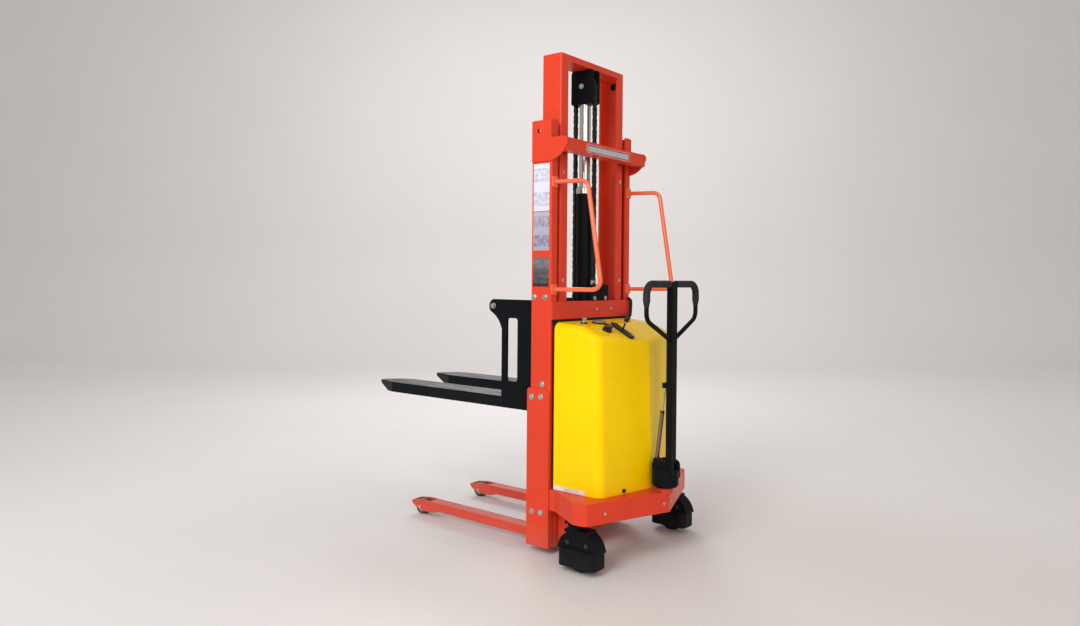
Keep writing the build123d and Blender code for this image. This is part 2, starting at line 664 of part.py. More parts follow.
# Fork blade: an inverted channel that comes down over the floor leg.
with BuildPart() as fork_left:
    with BuildSketch(Plane.XY.offset(FORK_TOP - FORK_DEPTH)):
        with BuildLine():
            Polyline(
                (CROSS_FRONT, FORK_CENTRE - FORK_WIDTH / 2),
                (TAPER_START, FORK_CENTRE - FORK_WIDTH / 2),
                (FORK_TIP - 16, FORK_CENTRE - TIP_HALF),
            )
            ThreePointArc(
                (FORK_TIP - 16, FORK_CENTRE - TIP_HALF),
                (FORK_TIP, FORK_CENTRE),
                (FORK_TIP - 16, FORK_CENTRE + TIP_HALF),
            )
            Polyline(
                (FORK_TIP - 16, FORK_CENTRE + TIP_HALF),
                (TAPER_START, FORK_OUTER),
                (CARRIAGE_FRONT, FORK_OUTER),
                (CARRIAGE_FRONT, SHANK_INSIDE),
                (CROSS_FRONT, SHANK_INSIDE),
                (CROSS_FRONT, FORK_CENTRE - FORK_WIDTH / 2),
            )
        make_face()
    extrude(amount=FORK_DEPTH)
    # nose ramps up from below and a little down from above
    with BuildSketch(side_plane(FORK_OUTER)):
        Polygon(
            (CROSS_FRONT, FORK_TOP - FORK_DEPTH),
            (1092, FORK_TOP - FORK_DEPTH),
            (FORK_TIP + 2, FORK_TOP - 15),
            (FORK_TIP + 2, FORK_TOP - 6),
            (1100, FORK_TOP),
            (CROSS_FRONT, FORK_TOP),
            align=None,
        )
    extrude(amount=FORK_WIDTH, mode=Mode.INTERSECT)
    block(
        (CROSS_FRONT, 1020),
        (FORK_CENTRE - FORK_WIDTH / 2 + FORK_WALL, FORK_CENTRE + FORK_WIDTH / 2 - FORK_WALL),
        (FORK_TOP - FORK_DEPTH, FORK_TOP - FORK_WALL),
        mode=Mode.SUBTRACT,
    )
save(fork_left, "fork_left")
save(mirrored(fork_left), "fork_right")

# ------------------------------------------------------------------ hood and what it covers
ROOF = [(40, 993), (HOOD_FRONT, HOOD_TOP), (-142, 978), (-345, 886)]  # side view of the roof
HOOD_WALL = 5
HOOD_HALF = 298
ROOF_ROUND = 34  # radius of the roof's edges


def hood_form(inset):
    """The hood's outer form, or with an inset the space inside it."""
    side = HOOD_HALF - inset
    with BuildPart() as form:
        for z_level, corner_x, apex_x in ((DECK_TOP, -250, -318), (1010, -230, -296)):
            with BuildSketch(Plane.XY.offset(z_level)) as plan:
                with BuildLine():
                    Polyline(
                        (30, side),
                        (corner_x + inset, side),
                        (apex_x + inset, 0),
                        (corner_x + inset, -side),
                        (30, -side),
                        close=True,
                    )
                make_face()
                fillet(plan.vertices().filter_by(lambda v: -260 < v.X < -200), 46 - inset)
                fillet(plan.vertices().filter_by(lambda v: v.X < -280), 30)
        loft()
        # roof slope and front face
        with BuildSketch(side_plane(side)):
            Polygon(
                (HOOD_FRONT - inset, DECK_TOP),
                (HOOD_FRONT - inset, ROOF[1][1] - inset),
                (ROOF[2][0], ROOF[2][1] - inset),
                (ROOF[3][0], ROOF[3][1] - inset),
                (ROOF[3][0], DECK_TOP),
                align=None,
            )
        extrude(amount=2 * side, mode=Mode.INTERSECT)
        roof_faces = form.faces().sort_by(Axis.Z)[-3:]
        fillet(roof_faces.edges().filter_by(lambda e: e.center().X < -20), ROOF_ROUND - inset)
    return form


hood_outside = hood_form(0)
hood_inside = hood_form(HOOD_WALL)
with BuildPart() as hood:
    add(hood_outside.part)
    add(hood_inside.part, mode=Mode.SUBTRACT)
save(hood, "hood")

# Battery with its two posts.
with BuildPart() as battery:
    block((-212, -32), (-250, 80), (DECK_TOP, 500))
    chamfer(battery.edges().filter_by(Axis.Z), 6)
    with BuildSketch(Plane.XY.offset(500)):
        with Locations((-60, -215), (-60, 45)):
            Circle(9)
    extrude(amount=16)
save(battery, "battery")

with BuildPart() as oil_tank:
    block((-200, -60), (112, 262), (DECK_TOP, 430))
    fillet(oil_tank.edges().filter_by(Axis.Z), 12)
save(oil_tank, "oil_tank")

with BuildPart() as valve_block:
    block((-170, -90), (150, 224), (430, 492))
    chamfer(valve_block.edges().filter_by(Axis.Z), 4)
save(valve_block, "valve_block")

with BuildPart() as pump_motor:
    with BuildSketch(Plane.XY.offset(492)):
        with Locations((-130, 187)):
            Circle(55)
    extrude(amount=150)
    chamfer(pump_motor.edges().filter_by(GeomType.CIRCLE), 6)
save(pump_motor, "pump_motor")

# ------------------------------------------------------------------ controls on the roof of the hood
ROOF_SLOPE = atan2(ROOF[2][1] - ROOF[3][1], ROOF[2][0] - ROOF[3][0])
FRONT_SLOPE = atan2(ROOF[1][1] - ROOF[2][1], ROOF[1][0] - ROOF[2][0])


def roof_plane(x, y, turn=0):
    """Sketch plane on the roof at x, y: local z points out of the roof.

    Local x runs up the slope, turned by the given angle about the truck's vertical.
    """
    steep = x < ROOF[2][0]
    slope = ROOF_SLOPE if steep else FRONT_SLOPE
    z = ROOF[2][1] + (x - ROOF[2][0]) * sin(slope) / cos(slope)
    up_slope = (cos(slope) * cos(turn), sin(turn), sin(slope) * cos(turn))
    return Plane(origin=(x, y, z), x_dir=up_slope, z_dir=(-sin(slope), 0, cos(slope)))


LEVER_AT = (-205, 72)
LEVER_TURN = -0.2  # radians off the truck's length
KEY_AT = (-86, 186)
GAUGE_AT = (-108, 105)
STOP_AT = (-190, 165)
lever_plane = roof_plane(*LEVER_AT, LEVER_TURN)
with BuildPart() as lever_console:
    with BuildSketch(lever_plane):
        RectangleRounded(138, 30, 12)
    extrude(amount=12)
    with BuildSketch(lever_plane.offset(2)):
        SlotOverall(112, 8)
    extrude(amount=10, mode=Mode.SUBTRACT)
save(lever_console, "lever_console")

LEVER_HUB = 4.5
lever_pivot = lever_plane.offset(7).origin
lever_side = Plane(
    origin=lever_pivot + lever_plane.y_dir * 3, x_dir=lever_plane.x_dir, z_dir=lever_plane.y_dir * -1
)
with BuildPart() as lift_lever:
    with BuildSketch(lever_side):
        Circle(LEVER_HUB)
        with Locations((0, 24)):
            Rectangle(5, 46)
    extrude(amount=6)
    with BuildSketch(lever_plane.offset(48)):
        Circle(11)
    extrude(amount=22)
    fillet(lift_lever.edges().filter_by(GeomType.CIRCLE).sort_by(SortBy.RADIUS)[-2:], 5)
save(lift_lever, "lift_lever")

with BuildPart() as panel_fittings:
    # round gauge
    with BuildSketch(roof_plane(*GAUGE_AT)):
        Circle(30)
    extrude(amount=9)
    # key barrel
    with BuildSketch(roof_plane(*KEY_AT)):
        Circle(14)
        Circle(6 + RUNNING, mode=Mode.SUBTRACT)
    extrude(amount=7)
    # collar of the stop button
    with BuildSketch(roof_plane(*STOP_AT)):
        Circle(21)
        Circle(9 + RUNNING, mode=Mode.SUBTRACT)
    extrude(amount=10)
save(panel_fittings, "panel_fittings")

key_plane = roof_plane(*KEY_AT)
with BuildPart() as key:
    with BuildSketch(key_plane.offset(1)):
        Circle(6)
    extrude(amount=8)
    with BuildSketch(key_plane.offset(9)):
        SlotOverall(22, 4)
    extrude(amount=18)
save(key, "key")

stop_plane = roof_plane(*STOP_AT)
with BuildPart() as stop_button:
    with BuildSketch(stop_plane.offset(6)):
        Circle(9)
    extrude(amount=12)
    with BuildSketch(stop_plane.offset(16)):
        Circle(19)
    extrude(amount=13)
    fillet(stop_button.edges().filter_by(GeomType.CIRCLE).sort_by(SortBy.RADIUS)[-2:], 4)
save(stop_button, "stop_button")

# ------------------------------------------------------------------ tiller
TURRET = 56
TURRET_Z = (301, 378)
YOKE_Y = (21, 33)
YOKE = (98, 56)  # length and height of a yoke cheek
STRUT_FOOT = (-341, 408)
STRUT_HEAD = (-380, 728)
BAR_SIZE = (28, 40)  # along X and along Y
with BuildPart() as tiller_turret:
    with BuildSketch(Plane.XY.offset(TURRET_Z[0])):
        with Locations((TURRET_X, 0)):
            Circle(TURRET)
    extrude(amount=TURRET_Z[1] - TURRET_Z[0])
    chamfer(tiller_turret.edges().filter_by(GeomType.CIRCLE), 9)
    with BuildSketch(Plane.XY.offset(TURRET_Z[0])):
        with Locations((TURRET_X, 0)):
            Circle(KINGPIN + RUNNING)
    extrude(amount=34, mode=Mode.SUBTRACT)
    # yoke that holds the foot of the bar
    for y_top in (YOKE_Y[1], -YOKE_Y[0]):
        with BuildSketch(side_plane(y_top)):
            with Locations((TURRET_X - 3, TILT_Z - 8)):
                RectangleRounded(YOKE[0], YOKE[1], 24)
            with Locations((TURRET_X - 3, TURRET_Z[1] - 20)):
                Rectangle(YOKE[0], 36)
        extrude(amount=YOKE_Y[1] - YOKE_Y[0])
    # ears for the foot of the strut
    for y_top in (15, -10):
        with BuildSketch(side_plane(y_top)):
            with Locations((STRUT_FOOT[0], STRUT_FOOT[1])):
                Circle(10)
            with Locations((STRUT_FOOT[0], (STRUT_FOOT[1] + TURRET_Z[1] - 10) / 2)):
                Rectangle(20, STRUT_FOOT[1] - TURRET_Z[1] + 10)
        extrude(amount=5)
    bar_across(TILLER_X, TILT_Z, 8, (-YOKE_Y[1] - 4, YOKE_Y[1] + 4))
    bar_across(STRUT_FOOT[0], STRUT_FOOT[1], 4, (-15, 15))
save(tiller_turret, "tiller_turret")

LOOP_TOP = 1156
LOOP_HALF = 207
LOOP_TUBE = 9.5
with BuildPart() as tiller_bar:
    block(
        (TILLER_X - BAR_SIZE[0] / 2, TILLER_X + BAR_SIZE[0] / 2),
        (-BAR_SIZE[1] / 2, BAR_SIZE[1] / 2),
        (TILT_Z, LOOP_TOP + 8),
    )
    bar_across(TILLER_X, TILT_Z, BAR_SIZE[0] / 2, (-BAR_SIZE[1] / 2, BAR_SIZE[1] / 2))
    bar_across(TILLER_X, TILT_Z, 8 + RUNNING, (-BAR_SIZE[1] / 2, BAR_SIZE[1] / 2), mode=Mode.SUBTRACT)
    # closed hand loop
    with BuildLine() as loop_path:
        FilletPolyline(
            (TILLER_X, 0, 914),
            (TILLER_X, LOOP_HALF, 1010),
            (TILLER_X, LOOP_HALF, LOOP_TOP),
            (TILLER_X, -LOOP_HALF, LOOP_TOP),
            (TILLER_X, -LOOP_HALF, 1010),
            (TILLER_X, 0, 914),
            radius=44,
        )
    with BuildSketch(Plane(origin=loop_path.line @ 0, z_dir=loop_path.line % 0)):
        Circle(LOOP_TUBE)
    sweep()
    # ears for the head of the strut
    for y_top in (13, -9):
        with BuildSketch(side_plane(y_top)):
            with Locations((STRUT_HEAD[0] - 5, STRUT_HEAD[1])):
                Rectangle(28, 22)
        extrude(amount=4)
save(tiller_bar, "tiller_bar")

GRIP = 15
with BuildPart() as grip_left:
    with BuildLine() as grip_path:
        FilletPolyline(
            (TILLER_X, LOOP_HALF, 1062),
            (TILLER_X, LOOP_HALF, LOOP_TOP),
            (TILLER_X, 22, LOOP_TOP),
            radius=44,
        )
    with BuildSketch(Plane(origin=grip_path.line @ 0, z_dir=grip_path.line % 0)):
        Circle(GRIP)
        Circle(LOOP_TUBE + 0.3, mode=Mode.SUBTRACT)
    sweep()
save(both_sides(grip_left), "grips")

# Gas strut that brings the tiller back upright.
STRUT_LEAN = atan2(STRUT_FOOT[0] - STRUT_HEAD[0], STRUT_HEAD[1] - STRUT_FOOT[1])
STRUT_LENGTH = hypot(STRUT_FOOT[0] - STRUT_HEAD[0], STRUT_HEAD[1] - STRUT_FOOT[1])
STRUT_AXIS = (-sin(STRUT_LEAN), 0, cos(STRUT_LEAN))


def strut_plane(distance):
    """Plane across the strut at this distance above its lower pin."""
    foot = Vector(STRUT_FOOT[0], 0, STRUT_FOOT[1])
    return Plane(origin=foot + Vector(*STRUT_AXIS) * distance, z_dir=STRUT_AXIS)


STRUT_BARREL = 9
BARREL_LENGTH = 205
with BuildPart() as strut_barrel:
    with BuildSketch(strut_plane(6)):
        Circle(STRUT_BARREL)
    extrude(amount=BARREL_LENGTH)
    bar_across(STRUT_FOOT[0], STRUT_FOOT[1], STRUT_BARREL, (-7, 7))
    bar_across(STRUT_FOOT[0], STRUT_FOOT[1], 4 + RUNNING, (-10, 10), mode=Mode.SUBTRACT)
    with BuildSketch(strut_plane(20)):
        Circle(4 + RUNNING)
    extrude(amount=BARREL_LENGTH, mode=Mode.SUBTRACT)
save(strut_barrel, "strut_barrel")

with BuildPart() as strut_rod:
    with BuildSketch(strut_plane(STRUT_LENGTH - 190)):
        Circle(4)
    extrude(amount=186)
    bar_across(STRUT_HEAD[0], STRUT_HEAD[1], 7, (-7, 7))
save(strut_rod, "strut_rod")
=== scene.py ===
from math import atan2, cos, pi, radians, sin, tan, tau

import bmesh
import bpy
from mathutils import Matrix, Vector, noise


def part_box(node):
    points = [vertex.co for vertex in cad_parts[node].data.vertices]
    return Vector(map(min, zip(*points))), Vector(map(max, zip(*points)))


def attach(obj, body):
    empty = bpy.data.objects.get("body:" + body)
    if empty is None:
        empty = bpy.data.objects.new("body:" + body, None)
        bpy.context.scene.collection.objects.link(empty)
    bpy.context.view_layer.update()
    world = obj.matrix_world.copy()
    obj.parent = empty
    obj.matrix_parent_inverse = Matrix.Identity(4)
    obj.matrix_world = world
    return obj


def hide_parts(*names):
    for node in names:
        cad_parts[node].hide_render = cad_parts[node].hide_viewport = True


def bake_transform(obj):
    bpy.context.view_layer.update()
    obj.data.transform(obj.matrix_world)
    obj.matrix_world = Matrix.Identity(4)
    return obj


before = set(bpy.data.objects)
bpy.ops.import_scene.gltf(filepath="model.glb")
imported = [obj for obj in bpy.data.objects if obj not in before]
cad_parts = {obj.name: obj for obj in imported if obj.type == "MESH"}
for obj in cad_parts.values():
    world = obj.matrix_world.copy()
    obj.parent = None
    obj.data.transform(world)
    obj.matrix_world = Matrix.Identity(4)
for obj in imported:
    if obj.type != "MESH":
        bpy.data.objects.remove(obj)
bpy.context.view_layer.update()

# ---------------------------------------- colours (linear RGB)
RED = (0.70, 0.050, 0.018)
# lighter and more orange than RED: partly the rails' paint, partly a painted highlight along the thin tubes
RAIL_RED_AND_HIGHLIGHT = (0.82, 0.15, 0.065)
YELLOW = (0.97, 0.65, 0.0)
BLACK = (0.006, 0.007, 0.009)
RUBBER = (0.008, 0.009, 0.009)
ZINC = (0.58, 0.58, 0.56)
CHROME = (0.58, 0.60, 0.61)
OILY_STEEL = (0.055, 0.055, 0.052)
CAST_IRON = (0.09, 0.088, 0.085)
BARE_STEEL = (0.32, 0.31, 0.30)
PALE_LABEL = (0.66, 0.66, 0.80)
LABEL_GREY = (0.34, 0.35, 0.48)
DULL_LABEL = (0.34, 0.33, 0.45)
DULL_MARKS = (0.10, 0.10, 0.16)
DARK_LABEL = (0.010, 0.010, 0.012)
DARK_MARKS = (0.09, 0.09, 0.10)
PALE_STRIP = (0.60, 0.56, 0.60)
BACKDROP = (0.84, 0.815, 0.805)
GUNMETAL = (0.26, 0.21, 0.18)
WHITE = (1.0, 1.0, 1.0)
FLOOR_DUST = (0.33, 0.29, 0.26)
TYRE_DUST = (0.10, 0.092, 0.085)
# grey of the fork tops: scuffed steel and a painted sheen
SCUFF_AND_SHEEN_GREY = (0.20, 0.20, 0.215)
WARM = (1.0, 0.78, 0.55)

X_AXIS = Vector((1, 0, 0))
Y_AXIS = Vector((0, 1, 0))
Z_AXIS = Vector((0, 0, 1))
MM = 0.001
SMOOTH = 48  # steps round a circle that is seen close up


class Box:
    """The space a CAD node takes up."""

    def __init__(self, node):
        self.low, self.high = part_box(node)
        self.centre = (self.low + self.high) / 2
        self.size = self.high - self.low


# ---------------------------------------- shader helpers
class Shader:
    """A material with short calls for the nodes used here."""

    def __init__(self, name):
        self.material = bpy.data.materials.new(name)
        self.material.use_nodes = True
        self.tree = self.material.node_tree
        self.tree.nodes.clear()
        self.output = self.tree.nodes.new("ShaderNodeOutputMaterial")
        self.main = self.tree.nodes.new("ShaderNodeBsdfPrincipled")
        self.tree.links.new(self.main.outputs[0], self.output.inputs["Surface"])
        self.place = self.tree.nodes.new("ShaderNodeTexCoord").outputs["Object"]

    def put(self, socket, value):
        if isinstance(value, bpy.types.NodeSocket):
            self.tree.links.new(value, socket)
        else:
            socket.default_value = value

    def stretched(self, scale):
        """Object coordinates scaled by a factor for each axis."""
        mapping = self.tree.nodes.new("ShaderNodeMapping")
        self.put(mapping.inputs["Vector"], self.place)
        self.put(mapping.inputs["Scale"], scale)
        return mapping.outputs[0]

    def noise(self, scale, detail=4.0, roughness=0.55, place=None):
        node = self.tree.nodes.new("ShaderNodeTexNoise")
        self.put(node.inputs["Vector"], place or self.place)
        self.put(node.inputs["Scale"], scale)
        self.put(node.inputs["Detail"], detail)
        self.put(node.inputs["Roughness"], roughness)
        return node.outputs[0]

    def ramp(self, value, from_low, from_high, to_low=0.0, to_high=1.0):
        """Maps a value from one range to another, clamped, with soft ends."""
        node = self.tree.nodes.new("ShaderNodeMapRange")
        node.interpolation_type = "SMOOTHSTEP"
        for socket, number in zip(node.inputs, (value, from_low, from_high, to_low, to_high)):
            self.put(socket, number)
        return node.outputs[0]

    def math(self, operation, a, b=0.0):
        node = self.tree.nodes.new("ShaderNodeMath")
        node.operation = operation
        node.use_clamp = operation in ("MULTIPLY", "ADD")
        self.put(node.inputs[0], a)
        self.put(node.inputs[1], b)
        return node.outputs[0]

    def mix(self, factor, a, b):
        node = self.tree.nodes.new("ShaderNodeMix")
        node.data_type = "RGBA"
        self.put(node.inputs[0], factor)
        for socket, colour in ((node.inputs[6], a), (node.inputs[7], b)):
            self.put(socket, colour if isinstance(colour, bpy.types.NodeSocket) else (*colour, 1.0))
        return node.outputs[2]

    def axis(self, index):
        node = self.tree.nodes.new("ShaderNodeSeparateXYZ")
        self.put(node.inputs[0], self.place)
        return node.outputs[index]

    def edges(self, radius):
        """1 along edges and 0 on flat or gently curved surface, and the rounded normal."""
        bevel = self.tree.nodes.new("ShaderNodeBevel")
        bevel.samples = 4
        self.put(bevel.inputs["Radius"], radius)
        geometry = self.tree.nodes.new("ShaderNodeNewGeometry")
        dot = self.tree.nodes.new("ShaderNodeVectorMath")
        dot.operation = "DOT_PRODUCT"
        self.put(dot.inputs[0], bevel.outputs[0])
        self.put(dot.inputs[1], geometry.outputs["Normal"])
        return self.ramp(dot.outputs["Value"], 0.995, 0.90), bevel.outputs[0]

    def bump(self, height, depth, normal=None):
        node = self.tree.nodes.new("ShaderNodeBump")
        self.put(node.inputs["Strength"], 1.0)
        self.put(node.inputs["Distance"], depth)
        self.put(node.inputs["Height"], height)
        if normal is not None:
            self.put(node.inputs["Normal"], normal)
        return node.outputs[0]

    def finish(self, colour, roughness, metallic=0.0, normal=None, coat=0.0, specular=0.5):
        self.put(self.main.inputs["Specular IOR Level"], specular)
        self.put(self.main.inputs["Base Color"], colour)
        self.put(self.main.inputs["Roughness"], roughness)
        self.put(self.main.inputs["Metallic"], metallic)
        self.put(self.main.inputs["Coat Weight"], coat)
        self.put(self.main.inputs["Coat Roughness"], 0.12)
        if normal is not None:
            self.put(self.main.inputs["Normal"], normal)
        return self.material


def darker(colour, factor):
    return tuple(channel * factor for channel in colour)


# ---------------------------------------- materials
def paint(name, colour, roughness, rounding=0.0012, wear=0.5, worn_to=BARE_STEEL, specular=0.25, dusty=0.3):
    """Sprayed enamel: faint orange peel, slow colour drift, floor dust low down and chipped edges."""
    s = Shader(name)
    edge, rounded = s.edges(rounding)
    patchy = s.ramp(s.noise(38.0, 6.0, 0.7), 0.56, 0.68)
    chips = s.math("MULTIPLY", s.math("MULTIPLY", edge, patchy), wear)
    drift = s.ramp(s.noise(3.0, 3.0), 0.3, 0.7)
    base = s.mix(drift, darker(colour, 0.90), colour)
    low = s.ramp(s.axis(2), 0.16, 0.0)
    dust = s.math("MULTIPLY", s.math("MULTIPLY", low, s.noise(24.0, 5.0)), dusty)
    base = s.mix(dust, base, FLOOR_DUST)
    base = s.mix(chips, base, worn_to)
    streaks = s.ramp(s.noise(9.0, 5.0), 0.35, 0.75, roughness - 0.05, roughness + 0.10)
    rough = s.math("ADD", streaks, s.math("MULTIPLY", dust, 0.35))
    normal = s.bump(s.noise(420.0, 2.0), 0.00006, rounded)
    return s.finish(base, rough, s.math("MULTIPLY", chips, 0.9), normal, 0.0, specular)


def fork_paint():
    """Black enamel with the top faces painted grey: partly scuffs where loads slide, partly a painted sheen
    for the light the tops reflect.
    """
    s = Shader("fork paint")
    edge, rounded = s.edges(0.0015)
    geometry = s.tree.nodes.new("ShaderNodeNewGeometry")
    split = s.tree.nodes.new("ShaderNodeSeparateXYZ")
    s.put(split.inputs[0], geometry.outputs["Normal"])
    # upward faces turn grey: scuffs, and a painted sheen for reflected light
    up = s.ramp(split.outputs[2], 0.85, 0.99)
    scratch = s.ramp(s.noise(16.0, 8.0, 0.75, s.stretched((0.35, 6.0, 1.0))), 0.42, 0.66)
    scuff_and_sheen = s.math("MULTIPLY", s.math("MULTIPLY", up, scratch), 0.75)
    chips = s.math("MULTIPLY", edge, s.ramp(s.noise(30.0, 6.0, 0.7), 0.5, 0.66))
    bare_and_sheen = s.math("MAXIMUM", scuff_and_sheen, chips)
    base = s.mix(bare_and_sheen, BLACK, SCUFF_AND_SHEEN_GREY)
    rough = s.ramp(s.noise(12.0, 5.0), 0.3, 0.7, 0.30, 0.42)
    normal = s.bump(s.noise(420.0, 2.0), 0.00006, rounded)
    return s.finish(base, rough, s.math("MULTIPLY", bare_and_sheen, 0.8), normal, 0.0, 0.08)


def metal(name, colour, roughness, brushed=(1.0, 1.0, 1.0), depth=0.00003, stain=0.5):
    """Bare or plated metal with fine grain along one axis and faint stains."""
    s = Shader(name)
    _, rounded = s.edges(0.0006)
    grain = s.noise(520.0, 3.0, 0.6, s.stretched(brushed))
    cloudy = s.ramp(s.noise(26.0, 5.0, 0.65), 0.42, 0.7)
    base = s.mix(s.math("MULTIPLY", cloudy, stain), colour, darker(colour, 0.55))
    rough = s.ramp(grain, 0.3, 0.7, roughness - 0.05, roughness + 0.08)
    return s.finish(base, rough, 1.0, s.bump(grain, depth, rounded))


def moulded(name, colour, roughness, grain_depth=0.00012, coat=0.0):
    """Rubber or plastic with a fine moulded texture and paler rubbed edges."""
    s = Shader(name)
    edge, rounded = s.edges(0.0010)
    rubbed = s.math("MULTIPLY", edge, s.ramp(s.noise(60.0, 5.0), 0.35, 0.75, 0.1, 0.6))
    patch = s.ramp(s.noise(14.0, 5.0), 0.3, 0.7)
    base = s.mix(patch, darker(colour, 0.8), darker(colour, 1.25))
    paler = tuple(0.6 * channel + 0.03 for channel in colour)
    base = s.mix(rubbed, base, paler)
    rough = s.ramp(s.noise(80.0, 4.0), 0.3, 0.7, roughness - 0.06, roughness + 0.08)
    return s.finish(base, rough, 0.0, s.bump(s.noise(900.0, 3.0), grain_depth, rounded), coat, 0.2)


def tyre_rubber():
    """Solid tyre: matt, with floor dust caught on the tread."""
    s = Shader("tyre rubber")
    _, rounded = s.edges(0.0012)
    dusty = s.ramp(s.noise(30.0, 6.0, 0.7), 0.45, 0.75, 0.0, 0.35)
    base = s.mix(dusty, RUBBER, TYRE_DUST)
    rough = s.ramp(s.noise(70.0, 4.0), 0.3, 0.7, 0.55, 0.75)
    return s.finish(base, rough, 0.0, s.bump(s.noise(600.0, 4.0), 0.0002, rounded), 0.0, 0.2)


def printed_label(name, ground, block, count, low, high):
    """Blank sticker: plain blocks of tone down its height, with no marks that mean anything."""
    s = Shader(name)
    height = s.ramp(s.axis(2), low, high)
    linear = s.tree.nodes.new("ShaderNodeMapRange")
    for socket, number in zip(linear.inputs, (s.axis(2), low, high, 0.0, float(count))):
        s.put(socket, number)
    part = s.math("FRACT", linear.outputs[0])
    above = s.math("GREATER_THAN", part, 0.22)
    below = s.math("LESS_THAN", part, 0.80)
    rows = s.math("MULTIPLY", above, below)
    soft = s.math("MULTIPLY", rows, s.ramp(s.noise(55.0, 4.0), 0.38, 0.62, 0.05, 0.75))
    base = s.mix(soft, ground, block)
    base = s.mix(s.math("MULTIPLY", height, 0.12), base, WHITE)
    rough = s.ramp(s.noise(40.0, 3.0), 0.3, 0.7, 0.28, 0.42)
    return s.finish(base, rough, 0.0, s.bump(s.noise(160.0, 3.0), 0.00005), 0.3)


def clear_lens():
    s = Shader("gauge lens")
    s.put(s.main.inputs["Transmission Weight"], 1.0)
    s.put(s.main.inputs["IOR"], 1.45)
    rough = s.ramp(s.noise(60.0, 4.0), 0.4, 0.8, 0.02, 0.12)
    return s.finish((0.9, 0.92, 0.92, 1.0), rough, 0.0, s.bump(s.noise(300.0, 2.0), 0.00002))


def backdrop_paper():
    """Pale seamless paper with the faintest mottling, and painted shade that makes it a little greyer under
    the truck and towards the camera than beyond it.
    """
    s = Shader("backdrop paper")
    # painted shade: greyer near the truck and the camera, pale further beyond
    beyond = s.math("ADD", s.math("MULTIPLY", s.axis(0), 0.35), s.math("MULTIPLY", s.axis(1), -0.45))
    tone = s.mix(s.ramp(beyond, 0.1, 0.9), darker(BACKDROP, 0.83), BACKDROP)
    base = s.mix(s.ramp(s.noise(0.8, 3.0), 0.3, 0.7, 0.0, 0.06), tone, darker(BACKDROP, 0.7))
    rough = s.ramp(s.noise(5.0, 3.0), 0.3, 0.7, 0.55, 0.65)
    return s.finish(base, rough, 0.0, s.bump(s.noise(90.0), 0.0002))


red_paint = paint("red paint", RED, 0.34)
# grab rails: base colour lightened by a painted highlight along the tubes
rail_paint_and_highlight = paint("grab rail paint with painted highlight", RAIL_RED_AND_HIGHLIGHT, 0.24, specular=0.5)
yellow_paint = paint("yellow paint", YELLOW, 0.30, 0.004, 0.2, worn_to=darker(YELLOW, 0.6), specular=0.12)
black_paint = paint("black paint", BLACK, 0.38, wear=0.3, specular=0.05, dusty=0.05)
fork_enamel = fork_paint()
zinc = metal("zinc", ZINC, 0.33)
chrome = metal("chrome", CHROME, 0.26, (1.0, 1.0, 30.0), 0.00001, 0.12)
oily_steel = metal("oily steel", OILY_STEEL, 0.36, stain=0.6)
cast_iron = metal("cast iron", CAST_IRON, 0.45, depth=0.0001, stain=0.6)
bright_plate = metal("bright plate", (0.72, 0.73, 0.75), 0.28, (1.0, 0.05, 1.0), 0.00002, 0.15)
black_rubber = moulded("black rubber", RUBBER, 0.58, 0.0002)
grip_rubber = moulded("grip rubber", (0.016, 0.017, 0.019), 0.48, 0.00025)
black_plastic = moulded("black plastic", (0.018, 0.018, 0.020), 0.42)
grey_plastic = moulded("grey plastic", (0.20, 0.20, 0.21), 0.38)
badge_rim = moulded("badge rim", (0.74, 0.20, 0.14), 0.4)
gunmetal = metal("gunmetal", GUNMETAL, 0.34, (1.0, 1.0, 20.0), 0.00002, 0.3)
# the stop button's red darkened to maroon as painted shade; the gauge needle shares it
shade_darkened_red_plastic = moulded("red plastic darkened by painted shade", (0.045, 0.010, 0.012), 0.28, 0.00003, 0.2)
battery_case = moulded("battery case", (0.03, 0.03, 0.032), 0.5)
tank_plastic = moulded("tank plastic", (0.55, 0.54, 0.48), 0.35)
pale_strip = moulded("pale strip", PALE_STRIP, 0.45, 0.00005)
dial_white = moulded("dial white", (0.80, 0.80, 0.78), 0.4, 0.00001)
roller_nylon = moulded("roller nylon", (0.055, 0.052, 0.05), 0.4)
tyre = tyre_rubber()
lens = clear_lens()


# ---------------------------------------- mesh helpers
def piece(name, bm, material, body, replaces=(), rounding=0.0):
    """Turns a bmesh into a shown object that rides a body."""
    bmesh.ops.remove_doubles(bm, verts=bm.verts, dist=1e-6)
    bmesh.ops.recalc_face_normals(bm, faces=bm.faces)
    mesh = bpy.data.meshes.new(name)
    bm.to_mesh(mesh)
    bm.free()
    mesh.materials.append(material)
    mesh.shade_smooth()
    mesh.set_sharp_from_angle(angle=radians(38))
    obj = bpy.data.objects.new(name, mesh)
    bpy.context.scene.collection.objects.link(obj)
    if rounding:
        bevel = obj.modifiers.new("rounding", "BEVEL")
        bevel.width = rounding
        bevel.segments = 2
        bevel.limit_method = "ANGLE"
        bevel.angle_limit = radians(38)
    if body:
        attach(obj, body)
    if replaces:
        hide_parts(*replaces)
    return obj


def basis(along, up=Z_AXIS):
    """Rotation whose local z points along a direction."""
    z = along.normalized()
    side = up if abs(z.dot(up)) < 0.95 else X_AXIS
    x = side.cross(z).normalized()
    return Matrix((x, z.cross(x), z)).transposed()


